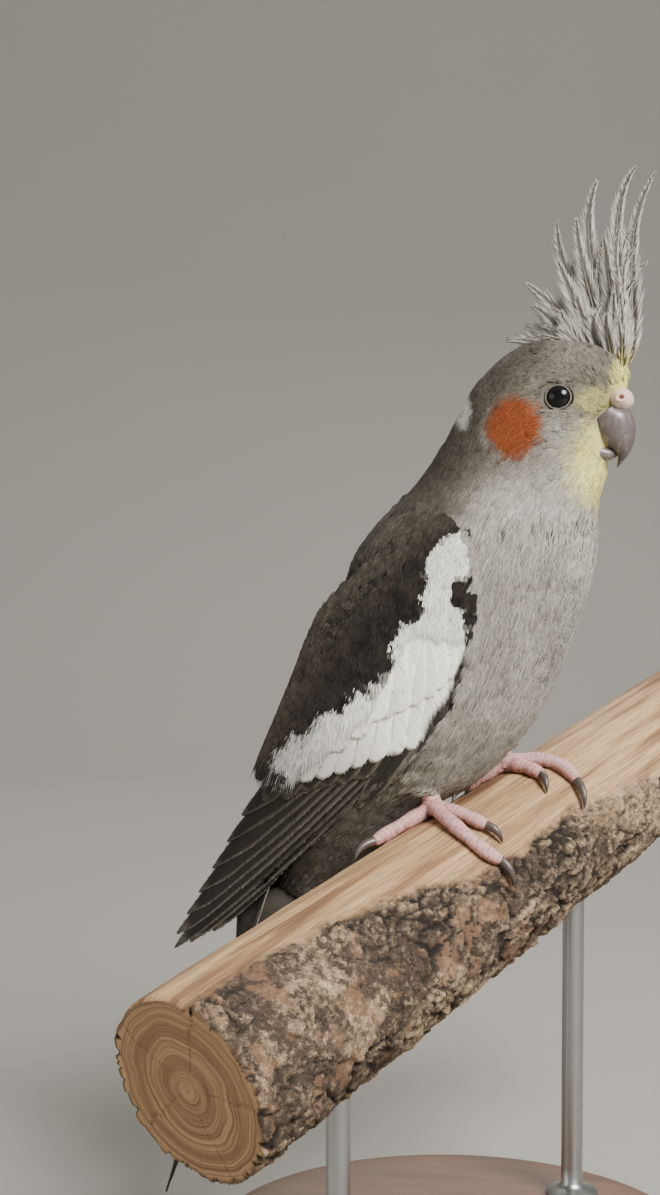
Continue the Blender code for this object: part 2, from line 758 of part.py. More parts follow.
def bill_part(name, table, tip, group):
    """Half of the bill as a loft of sections that ends in a point."""
    rings = [section_ring(row[0:2], row[2:4], row[4], 14) for row in table]
    return loft(name, rings, group, end_tip=Vector((tip[0], 0.0, tip[1])))


def make_foot(side, group, cutters):
    """Foot of one side: a short shank and four toes, two ahead and two behind, on the branch."""
    plan = FEET[side]
    lift = TOE_RADIUS + GAP + 0.15
    hub = branch_point(*plan["hub"], 3.0 + GAP)
    shank_top = hub + Vector((-0.8, 0.0, 5.2))
    forward = Vector((1.0, 0.0, 0.0))
    shank = [hub + Vector((0.0, 0.0, -1.6)), hub + Vector((-0.5, 0.0, 1.6)),
             shank_top - Vector((0.0, 0.0, 1.0)), shank_top]
    foot = tube("foot_" + side, shank, [2.7, 2.8, 2.4, 2.4], group, sides=10, up=forward)
    toes = []
    for middle, end, _ in plan["toes"]:
        stations = [hub_place(plan["hub"], middle, end, share) for share in (0.0, 0.2, 0.4, 0.6, 0.8, 1.0)]
        path = [branch_point(degrees, place, lift) for degrees, place in stations]
        path[0] = hub
        radii = [TOE_RADIUS * r for r in (1.15, 1.0, 1.05, 0.9, 0.98, 0.74)]
        up = path[2] - branch_point(stations[2][0], stations[2][1], -10.0)
        toes.append(tube("toe", path, radii, group, sides=7, up=up.normalized()))
    clear_path = [hub - Vector((0.0, 0.0, 2.4)), shank_top + Vector((0.0, 0.0, 2.5))]
    clear = [tube("shank_clear", clear_path, [SHANK_CLEAR] * 2, cutters, sides=12, up=forward)]
    clear += [inflated(toe, GAP, cutters) for toe in toes]
    apply_boolean(foot, "UNION", toes)
    return foot, shank_top, clear


def hub_place(hub, middle, end, share):
    """Place on the curve from the hub past the toe's middle to its end."""
    start = Vector(hub)
    bend = Vector(middle) * 2 - (start + Vector(end)) / 2
    return tuple(start * (1 - share) ** 2 + bend * 2 * share * (1 - share) + Vector(end) * share ** 2)


def make_claw(name, plan, index, group):
    """Curved claw that carries a toe on round the branch."""
    middle, end, tip = plan["toes"][index]
    lift = TOE_RADIUS + GAP + 0.15
    before = hub_place(plan["hub"], middle, end, 0.8)
    ahead = (branch_point(*end, lift) - branch_point(*before, lift)).normalized()
    start = branch_point(*end, lift) + ahead * GAP
    last = branch_point(*tip, 0.75)
    arch = branch_point(end[0] * 0.45 + tip[0] * 0.55, end[1] * 0.45 + tip[1] * 0.55, lift + 1.6)
    root = start + ahead * 0.8
    path = [start]
    for share in (0.0, 0.35, 0.65, 0.87):
        path.append(root * (1 - share) ** 2 + arch * 2 * share * (1 - share) + last * share ** 2)
    radii = [CLAW_RADIUS * r for r in (1.0, 1.0, 0.82, 0.56, 0.28)]
    out = (arch - branch_point(tip[0], tip[1], -10.0)).normalized()
    return tube(name, path, radii, group, sides=7, end_tip=last, up=out)


def make_thigh(side, shank_top, group):
    """Feathered upper leg from the shank up into the flank."""
    sign = -1.0 if side == "right" else 1.0
    start = shank_top + Vector((0.0, 0.0, GAP))
    steps = ((0.0, 0.0, 3.2), (0.0, 1.4, 4.4), (1.8, 4.6, 6.6), (5.5, 10.5, 8.4),
             (10.0, 19.0, 8.8), (14.0, 28.0, 7.0))
    path = [start + Vector((-back, 0.0, rise)) for back, rise, _ in steps]
    for k, point in enumerate(path[2:], 1):
        point.y -= sign * 0.6 * k
    radii = [radius for _, _, radius in steps]
    top = path[-1] + Vector((-1.5, 0.0, 3.5))
    return tube("thigh_" + side, path, radii, group, sides=12, end_tip=top,
                up=Vector((1.0, 0.0, 0.0)))


def make_stand(group, perch_clear):
    """Round base and the two rods that carry the branch."""
    bpy.ops.mesh.primitive_cylinder_add(
        vertices=40, radius=BASE_RADIUS * MM, depth=BASE_THICKNESS * MM,
        location=(0.0, 0.0, BASE_THICKNESS / 2 * MM))
    base = bpy.context.object
    base.name = "stand_base"
    bevel = base.modifiers.new("edge", "BEVEL")
    bevel.width = BASE_BEVEL * MM
    bevel.segments = 1
    bevel.limit_method = "ANGLE"
    move_to(base, group)
    rods = []
    middle, along, _, _ = branch_frame()
    for end, place in ROD_STATIONS.items():
        point = middle + along * place
        bottom = BASE_THICKNESS - BIRD_HEIGHT + GAP
        turns = [math.tau * k / 16 for k in range(16)]
        rings = []
        for level in (bottom, point.z):
            rings.append([Vector((point.x + ROD_RADIUS * math.cos(a),
                                  point.y + ROD_RADIUS * math.sin(a), level)) for a in turns])
        rod = loft("stand_rod_" + end, rings, group)
        cutter = perch_clear.copy()
        cutter.data = perch_clear.data.copy()
        group.objects.link(cutter)
        apply_boolean(rod, "DIFFERENCE", [cutter])
        rods.append(rod)
    return base, rods


def copy_of(obj, group):
    """Separate copy of an object with its own mesh, to be spent as a cutter."""
    copy = obj.copy()
    copy.data = obj.data.copy()
    group.objects.link(copy)
    return copy


def main():
    """Build every part, cut the neighbours clear of each other, and place the bird."""
    clear_scene()
    model = new_collection("cockatiel")
    cutters = new_collection("cutters")
    cutters.hide_render = True
    bird = bpy.data.objects.new("bird_frame", None)
    bird.location = (0.0, 0.0, BIRD_HEIGHT * MM)
    model.objects.link(bird)

    perch = make_perch("perch", model)
    perch_clear = inflated(perch, GAP, cutters)

    beds = [make_wing_bed(cutters)]
    beds.append(mirrored(beds[0], "wing_bed_left", cutters))
    wing_right = make_right_wing(model)
    wing_left = mirrored(wing_right, "wing_left", model)

    head = body_length("head", 0.0, NECK_TOP, model, start_tip=(CROWN[0], 0.0, CROWN[1]))
    neck = body_length("neck", NECK_TOP + PARTING, NECK_BOTTOM, model)
    torso = body_length("torso", NECK_BOTTOM + PARTING, BODY_END, model)
    tail = make_tail(model)

    feet = {}
    thighs = {}
    claws = []
    belly_cuts = [copy_of(cutter, cutters) for cutter in (*beds, perch_clear)]
    for side, plan in FEET.items():
        feet[side], shank_top, clear = make_foot(side, model, cutters)
        belly_cuts += clear
        thighs[side] = make_thigh(side, shank_top, model)
        belly_cuts.append(inflated(thighs[side], GAP, cutters))
        apply_boolean(thighs[side], "DIFFERENCE", [copy_of(b, cutters) for b in beds])
        for index in range(len(plan["toes"])):
            claws.append(make_claw("claw_%s_%d" % (side, index + 1), plan, index, model))
    belly_cuts += [inflated(claw, GAP, cutters) for claw in claws]
    apply_boolean(torso, "DIFFERENCE", belly_cuts)

    eyes = {}
    sockets = []
    lids = []
    for side, sign in (("right", -1.0), ("left", 1.0)):
        centre = (EYE_CENTRE[0], sign * EYE_CENTRE[1], EYE_CENTRE[2])
        eyes[side] = make_ball("eye_" + side, centre, [EYE_RADIUS] * 3, model)
        sockets.append(make_ball("socket", centre, [EYE_RADIUS + GAP] * 3, cutters))
        lids.append(make_lid(sign, cutters))
    apply_boolean(head, "UNION", lids + [crest_feather(row, cutters) for row in CREST])

    beak_upper = bill_part("beak_upper", BEAK_UPPER, BEAK_TIP, model)
    beak_lower = bill_part("beak_lower", BEAK_LOWER, LOWER_TIP, model)
    cere = make_ball("cere", CERE_CENTRE, CERE_RADII, model, segments=12, rings=7)
    apply_boolean(beak_lower, "DIFFERENCE", [inflated(beak_upper, GAP, cutters)])
    apply_boolean(beak_upper, "DIFFERENCE", [inflated(cere, GAP, cutters)])
    face_cuts = sockets + [inflated(p, GAP, cutters) for p in (beak_upper, beak_lower, cere)]
    apply_boolean(head, "DIFFERENCE", face_cuts)
    nostrils = [make_ball("nostril", (NOSTRIL[0], sign * NOSTRIL[1], NOSTRIL[2]),
                          [NOSTRIL_RADIUS, 1.8, NOSTRIL_RADIUS], cutters, segments=8, rings=6)
                for sign in (-1.0, 1.0)]
    apply_boolean(cere, "DIFFERENCE", nostrils)

    base, rods = make_stand(model, perch_clear)

    for part in (head, neck, torso, tail):
        finish(part, part.name, bird)
    for part in (wing_right, wing_left):
        finish(part, "wing", bird)
    for side in FEET:
        finish(feet[side], "foot", bird)
        finish(thighs[side], "thigh", bird)
        finish(eyes[side], "eye", bird)
    for claw in claws:
        finish(claw, "claw", bird)
    for part in (beak_upper, beak_lower):
        finish(part, "beak", bird)
    finish(cere, "cere", bird)
    finish(perch, "perch", bird)
    for rod in rods:
        finish(rod, "stand", bird)
    finish(base, "stand", None)
    for cutter in list(cutters.objects):
        bpy.data.objects.remove(cutter, do_unlink=True)


if __name__ == "__main__":
    main()
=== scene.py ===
"""Life-size cockatiel gripping a cut length of branch on a plain display stand.

Lengths are in millimetres in the bird's own frame, whose origin lies between the feet on top of
the branch: +X is ahead, +Y the bird's left and +Z up. Meshes are written in metres over the floor.
"""

from __future__ import annotations

import logging
import math
from collections.abc import Callable
from dataclasses import dataclass, field
from enum import Enum

import bpy
import numpy as np
from mathutils import Matrix, Vector
from mathutils.bvhtree import BVHTree

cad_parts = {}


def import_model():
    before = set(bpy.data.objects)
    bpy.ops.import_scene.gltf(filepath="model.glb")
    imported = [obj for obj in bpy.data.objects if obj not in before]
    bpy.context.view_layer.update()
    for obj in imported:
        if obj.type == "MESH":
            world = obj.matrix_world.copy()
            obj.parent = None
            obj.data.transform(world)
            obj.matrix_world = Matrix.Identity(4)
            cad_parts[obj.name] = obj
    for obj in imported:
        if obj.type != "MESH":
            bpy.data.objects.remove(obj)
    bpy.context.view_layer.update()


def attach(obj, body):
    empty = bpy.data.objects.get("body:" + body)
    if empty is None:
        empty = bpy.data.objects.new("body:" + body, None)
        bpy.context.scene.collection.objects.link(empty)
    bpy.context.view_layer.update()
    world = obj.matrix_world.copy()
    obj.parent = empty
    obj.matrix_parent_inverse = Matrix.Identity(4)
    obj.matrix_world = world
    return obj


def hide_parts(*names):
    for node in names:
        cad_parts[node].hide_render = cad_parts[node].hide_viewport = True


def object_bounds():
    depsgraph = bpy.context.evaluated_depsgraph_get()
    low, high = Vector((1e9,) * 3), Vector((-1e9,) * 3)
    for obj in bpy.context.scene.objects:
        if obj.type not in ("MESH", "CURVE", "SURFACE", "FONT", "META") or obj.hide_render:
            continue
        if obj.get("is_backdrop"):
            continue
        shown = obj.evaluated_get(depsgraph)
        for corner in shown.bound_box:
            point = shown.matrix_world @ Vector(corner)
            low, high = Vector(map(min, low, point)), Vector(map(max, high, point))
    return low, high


LOG = logging.getLogger("cockatiel")
Array = np.ndarray
Draw = np.random.Generator
Pair = tuple[float, float]
Triple = tuple[float, float, float]
Pairs = tuple[Pair, ...]
Table = tuple[tuple[float, ...], ...]
Piece = bpy.types.Object
Material = bpy.types.Material
Socket = bpy.types.NodeSocket

MM = 0.001
BIRD_HEIGHT = 150.0
SEED = 20
COAT_LIMIT = 170000
EYE = (33.6, 12.0, 120.7)
CERE = (50.4, 0.0, 120.4)


class Side(Enum):
    """Side of the bird, with its sign along Y."""

    RIGHT = -1.0
    LEFT = 1.0

    @property
    def word(self) -> str:
        """Name of the side in lower case."""
        return self.name.lower()


def unit(vectors: Array) -> Array:
    """Vectors scaled to length one."""
    return vectors / np.maximum(np.linalg.norm(vectors, axis=-1, keepdims=True), 1e-9)


def rounded(value: Array, power: float) -> Array:
    """Cosine or sine of a rounded square's turn, whose corners fill as the power grows."""
    return np.sign(value) * np.abs(value) ** (2 / power)


def step(value: Array, low: float, high: float) -> Array:
    """Smooth rise from 0 at low to 1 at high; it falls where high is below low."""
    share = np.clip((value - low) / (high - low), 0.0, 1.0)
    return share * share * (3.0 - 2.0 * share)


def curve_rows(x: Array, table: Array) -> Array:
    """Smooth curve through the rows of a table.

    Args:
        x: places to read, any shape.
        table: rows whose first column is the place.

    Returns:
        The other columns at each place, in a last axis of their own.
    """
    table = np.asarray(table, float)
    xs, ys = table[:, 0], table[:, 1:]
    x = np.clip(np.asarray(x, float), xs[0], xs[-1])
    i = np.clip(np.searchsorted(xs, x, side="right") - 1, 0, len(xs) - 2)
    before = np.maximum(np.arange(len(xs)) - 1, 0)
    after = np.minimum(np.arange(len(xs)) + 1, len(xs) - 1)
    slopes = (ys[after] - ys[before]) / (xs[after] - xs[before])[:, None]
    width = (xs[i + 1] - xs[i])[..., None]
    t = (x - xs[i])[..., None] / width
    held = ys[i] * (2 * t**3 - 3 * t**2 + 1) + ys[i + 1] * (3 * t**2 - 2 * t**3)
    turned = slopes[i] * (t**3 - 2 * t**2 + t) + slopes[i + 1] * (t**3 - t**2)
    return held + turned * width


def through(rows: Array, places: Array) -> Array:
    """Smooth curve through rows that stand one unit apart."""
    rows = np.asarray(rows, float)
    return curve_rows(places, np.column_stack([np.arange(len(rows)), rows]))


def grid_of(rows: int, columns: int) -> tuple[Array, Array]:
    """Row and column number of each place in a grid."""
    return np.meshgrid(np.arange(rows), np.arange(columns), indexing="ij")


def turns_of(count: int) -> Array:
    """Angles shared out evenly round a full turn."""
    return np.arange(count) / count * math.tau


def packed(*columns: Array) -> Array:
    """Arrays or numbers of like shapes side by side in a last axis."""
    return np.stack(np.broadcast_arrays(*columns), -1).astype(float)


def hashed(cells: Array, seed: int) -> Array:
    """Repeatable number from 0 to 1 for each row of whole numbers."""
    mixed = np.full(cells.shape[:-1], seed * 374761393 + 668265263, np.uint64)
    for k in range(cells.shape[-1]):
        mixed ^= cells[..., k].astype(np.int64).astype(np.uint64)
        mixed *= np.uint64(1099511628211)
        mixed ^= mixed >> np.uint64(29)
    for factor in (0xFF51AFD7ED558CCD, 0xC4CEB9FE1A85EC53):
        mixed = (mixed ^ (mixed >> np.uint64(33))) * np.uint64(factor)
    return (mixed >> np.uint64(40)).astype(float) / float(0xFFFFFF)


def noise(points: Array, seed: int = 0) -> Array:
    """Smooth value noise from -1 to 1 with cells one unit wide, in two or three dimensions."""
    base = np.floor(points).astype(np.int64)
    share = points - base
    share = share * share * (3.0 - 2.0 * share)
    total = np.zeros(points.shape[:-1])
    count = points.shape[-1]
    for corner in range(2**count):
        bits = np.array([(corner >> k) & 1 for k in range(count)])
        weight = np.prod(np.where(bits == 1, share, 1.0 - share), axis=-1)
        total += weight * hashed(base + bits, seed)
    return total * 2.0 - 1.0


def cells(points: Array, seed: int = 0) -> tuple[Array, Array, Array]:
    """Scattered plates in a plane of cells one unit wide.

    Args:
        points: places in the plane.
        seed: picks another scatter.

    Returns:
        How far each point is from its plate's edge, and the plate's centre and two draws.
    """
    base = np.floor(points).astype(np.int64)
    nearest = np.full(points.shape[:-1], 9.0)
    second = nearest.copy()
    centre = np.zeros(points.shape)
    key = np.zeros(points.shape, np.int64)
    for dx in (-1, 0, 1):
        for dy in (-1, 0, 1):
            cell = base + np.array([dx, dy])
            shift = packed(hashed(cell, seed) * 2 - 1, hashed(cell, seed + 1) * 2 - 1)
            spot = cell + 0.5 + 0.42 * shift
            far = np.linalg.norm(points - spot, axis=-1)
            closer = far < nearest
            second = np.where(closer, nearest, np.minimum(second, far))
            nearest = np.where(closer, far, nearest)
            centre = np.where(closer[..., None], spot, centre)
            key = np.where(closer[..., None], cell, key)
    return second - nearest, centre, packed(hashed(key, seed + 2), hashed(key, seed + 3))


def write_rows(mesh: bpy.types.Mesh, name: str, rows: Array) -> None:
    """Put four numbers for each point on a mesh under a name."""
    layer = mesh.attributes.new(name, "FLOAT_COLOR", "POINT")
    layer.data.foreach_set("color", rows.astype(np.float32).ravel())


def read_rows(parts: bpy.types.bpy_prop_collection, name: str, kind: type = float) -> Array:
    """Three numbers of each of a mesh's points or triangles."""
    rows = np.zeros(len(parts) * 3, kind)
    parts.foreach_get(name, rows)
    return rows.reshape(-1, 3)


def from_scene(points: Array) -> Array:
    """Places of the scene as places in the bird's frame."""
    return points / MM - np.array([0.0, 0.0, BIRD_HEIGHT])


@dataclass
class Surface:
    """Points, faces and per-point values of one piece, gathered before it becomes a mesh."""

    points: list[Array] = field(default_factory=list)
    quads: list[Array] = field(default_factory=list)
    tris: list[Array] = field(default_factory=list)
    values: dict[str, list[Array]] = field(default_factory=dict)
    patches: list[Array] = field(default_factory=list)
    normals: list[Array] = field(default_factory=list)
    count: int = 0

    def add(self, points: Array, quads: Array | None = None, tris: Array | None = None,
            patch: Array | None = None, **values: Array) -> None:
        """Add one form to the piece.

        Args:
            points: its places in the bird's frame, in millimetres.
            quads: its faces of four corners.
            tris: its faces of three corners.
            patch: the place of each point on the piece's unwrap.
            values: four numbers for each point under each name.
        """
        for faces, kept in ((quads, self.quads), (tris, self.tris)):
            if faces is not None and len(faces):
                kept.append(np.asarray(faces, np.int64) + self.count)
        self.points.append(np.asarray(points, float))
        if patch is not None:
            self.patches.append(patch)
        for name, rows in values.items():
            self.values.setdefault(name, []).append(rows)
        self.count += len(points)

    def build(self, name: str, raised: float = BIRD_HEIGHT) -> Piece:
        """Turn what was gathered into a smooth object.

        Args:
            name: the object's name.
            raised: height of the frame over the floor, in millimetres.

        Returns:
            The object, linked to the scene.
        """
        points = np.concatenate(self.points)
        points = (points + np.array([0.0, 0.0, raised])) * MM
        quads = np.concatenate(self.quads) if self.quads else np.zeros((0, 4), np.int64)
        tris = np.concatenate(self.tris) if self.tris else np.zeros((0, 3), np.int64)
        corners = np.concatenate([quads.ravel(), tris.ravel()])
        starts = np.concatenate([np.arange(len(quads)) * 4,
                                 len(quads) * 4 + np.arange(len(tris)) * 3])
        mesh = bpy.data.meshes.new(name)
        mesh.vertices.add(len(points))
        mesh.vertices.foreach_set("co", points.astype(np.float32).ravel())
        mesh.loops.add(len(corners))
        mesh.loops.foreach_set("vertex_index", corners.astype(np.int32))
        mesh.polygons.add(len(starts))
        mesh.polygons.foreach_set("loop_start", starts.astype(np.int32))
        mesh.update(calc_edges=True)
        mesh.shade_smooth()
        for key, rows in self.values.items():
            write_rows(mesh, key, np.concatenate(rows))
        if self.patches:
            unwrap = mesh.uv_layers.new(name="OFBake")
            places = np.concatenate(self.patches)[corners]
            unwrap.data.foreach_set("uv", places.astype(np.float32).ravel())
        if self.normals:
            mesh.normals_split_custom_set_from_vertices(np.concatenate(self.normals).tolist())
        return placed(name, mesh)


def placed(name: str, data: bpy.types.ID) -> Piece:
    """New object of the scene with its data."""
    piece = bpy.data.objects.new(name, data)
    bpy.context.scene.collection.objects.link(piece)
    return piece


def tube_faces(rings: int, sides: int) -> tuple[Array, Array]:
    """Faces of a closed tube whose ends are fanned from two last points.

    Args:
        rings: number of rings.
        sides: points in each.

    Returns:
        The four-sided and the three-sided faces.
    """
    k = np.arange(sides)
    n = (k + 1) % sides
    last = (rings - 1) * sides
    start = np.stack([np.full(sides, rings * sides), n, k], -1)
    end = np.stack([np.full(sides, rings * sides + 1), last + k, last + n], -1)
    return round_quads(rings, sides), np.concatenate([start, end])


def round_quads(rings: int, sides: int) -> Array:
    """Four-sided faces between rings of points."""
    r, k = grid_of(rings - 1, sides)
    r, n = r * sides, (k + 1) % sides
    return np.stack([r + k, r + n, r + sides + n, r + sides + k], -1).reshape(-1, 4)


def outward(points: Array, quads: Array, tris: Array) -> tuple[Array, Array]:
    """Faces turned so that the closed form they make has its outside out."""
    corners = np.concatenate([tris, quads[:, :3], quads[:, [0, 2, 3]]])
    a, b, c = (points[corners[:, k]] for k in range(3))
    if np.einsum("ij,ij->", a, np.cross(b, c)) < 0:
        return quads[:, ::-1], tris[:, ::-1]
    return quads, tris


def add_tube(surface: Surface, path: Array, radii: Array, up: Array, sides: int,
             tip: Array | None = None, shape: Array | None = None, **values: Array) -> None:
    """Add a round form along a path.

    Args:
        surface: the piece it joins.
        path: its middle line.
        radii: a radius for each point of the path.
        up: a direction that lies across the path.
        sides: points round it.
        tip: last point of all, if it is pointed.
        shape: radius shares for each ring and side.
        values: four numbers for each ring and side under each name.
    """
    ahead = unit(np.gradient(path, axis=0))
    side = unit(np.cross(np.broadcast_to(up, path.shape), ahead))
    top = np.cross(ahead, side)
    turns = turns_of(sides)
    reach = radii[:, None] * (shape if shape is not None else 1.0)
    reach = np.broadcast_to(reach, (len(path), sides))
    rings = path[:, None] + side[:, None] * (np.cos(turns) * reach)[..., None]
    rings = rings + top[:, None] * (np.sin(turns) * reach)[..., None]
    ends = np.stack([path[0], path[-1] if tip is None else tip])
    points = np.concatenate([rings.reshape(-1, 3), ends])
    quads, tris = outward(points, *tube_faces(len(path), sides))
    rows = {}
    for name, value in values.items():
        value = np.broadcast_to(value, (len(path), sides, 4))
        rows[name] = np.concatenate([value.reshape(-1, 4), value[0, :1], value[-1, :1]])
    surface.add(points, quads, tris, **rows)


@dataclass
class BodyForm:
    """Trunk and head as sections from crown to tail root."""

    sections: Table = (
        (25.0, 137.9, 41.0, 137.2, 4.8),
        (19.5, 136.2, 47.6, 134.8, 9.2),
        (14.5, 133.2, 51.6, 131.2, 12.0),
        (9.8, 129.0, 53.4, 126.4, 14.3),
        (5.6, 124.0, 52.6, 121.2, 15.9),
        (2.4, 118.5, 49.6, 115.6, 16.9),
        (-0.6, 112.4, 48.4, 109.4, 17.6),
        (-3.6, 107.0, 47.9, 103.6, 18.4),
        (-7.0, 101.4, 46.6, 99.0, 19.6),
        (-13.5, 93.2, 44.2, 91.0, 22.4),
        (-24.2, 82.0, 43.4, 79.5, 25.0),
        (-32.4, 70.4, 42.2, 69.5, 26.0),
        (-35.6, 56.5, 38.6, 57.0, 26.3),
        (-40.2, 44.0, 34.4, 44.2, 25.8),
        (-44.4, 31.5, 28.4, 30.2, 24.8),
        (-47.6, 20.0, 20.6, 18.6, 23.3),
        (-49.8, 10.0, 9.0, 6.6, 22.0),
        (-51.2, 1.0, -6.0, -3.0, 19.8),
        (-53.2, -8.5, -20.5, -14.5, 16.6),
        (-55.6, -18.0, -31.5, -25.5, 13.0),
        (-58.4, -27.5, -41.0, -36.0, 9.6),
    )
    crown: Pair = (33.0, 138.4)
    bill_root: Triple = (50.0, 0.0, 114.0)
    power: float = 2.2
    neck: float = 9.0
    taper: float = 0.5
    taper_x: Pair = (33.0, 47.0)
    taper_foot: Pair = (94.0, 104.0)
    taper_top: Pair = (124.0, 134.0)

    def rings(self, stations: Array, turns: Array, depth: Array) -> Array:
        """Points of the skin.

        Args:
            stations: places along the body, counted in sections.
            turns: angles round it, nought at the back.
            depth: how far the skin lies under the outline at each station.

        Returns:
            One point for each station and turn.
        """
        row = through(self.sections, stations)
        back, front, half = row[:, 0:2], row[:, 2:4], row[:, 4] - depth
        middle = (back + front) / 2
        spine = back - middle
        spine *= (1 - depth / np.linalg.norm(spine, axis=1))[:, None]
        reach, wide = rounded(np.cos(turns), self.power), rounded(np.sin(turns), self.power)
        egg = 0.12 * np.maximum(0.0, 1 - stations / self.neck)
        xz = middle[:, None] + spine[:, None] * reach[None, :, None]
        y = half[:, None] * wide[None] * (1 + egg[:, None] * reach[None])
        taper = self.taper * step(xz[..., 0], *self.taper_x) * step(xz[..., 1], *self.taper_foot)
        y = y * (1.0 - taper * (1.0 - 0.5 * step(xz[..., 1], *self.taper_top)))
        return packed(xz[..., 0], y, xz[..., 1])

    def place(self, points: Array) -> tuple[Array, Array, Array]:
        """Where points lie on the body.

        Args:
            points: places near the skin.

        Returns:
            Each point's station, how far back it lies from -1 to 1, and the body's direction.
        """
        samples = np.linspace(0, len(self.sections) - 1, 240)
        row = through(self.sections, samples)
        back, front = row[:, 0:2], row[:, 2:4]
        across = front - back
        flat = points[:, [0, 2]]
        side = (across[None, :, 0] * (flat[:, None, 1] - back[None, :, 1])
                - across[None, :, 1] * (flat[:, None, 0] - back[None, :, 0]))
        side /= np.linalg.norm(across, axis=1)[None]
        nearest = np.abs(side).argmin(axis=1)
        share = np.einsum("ij,ij->i", flat - back[nearest], across[nearest])
        share /= np.einsum("ij,ij->i", across[nearest], across[nearest])
        front_way = unit(np.gradient(front, axis=0))[nearest]
        back_way = unit(np.gradient(back, axis=0))[nearest]
        blend = np.clip(share, 0, 1)[:, None]
        way = unit(back_way * (1 - blend) + front_way * blend)
        way = packed(way[:, 0], 0.0, way[:, 1])
        return samples[nearest], 1 - 2 * share, way

    def lie(self, points: Array, normals: Array) -> Array:
        """Direction in which feathers lie at points of the skin."""
        station, _, way = self.place(points)
        from_bill = points - np.array(self.bill_root)
        far = np.linalg.norm(from_bill, axis=1)
        away = unit(from_bill + np.array([-3.0, 0.0, 0.0]))
        blend = step(far, 16.0, 46.0)[:, None]
        blend = np.maximum(blend, step(station, 7.0, 10.0)[:, None])
        mixed = away * (1 - blend) + way * blend
        mixed -= normals * np.einsum("ij,ij->i", mixed, normals)[:, None]
        return unit(mixed)


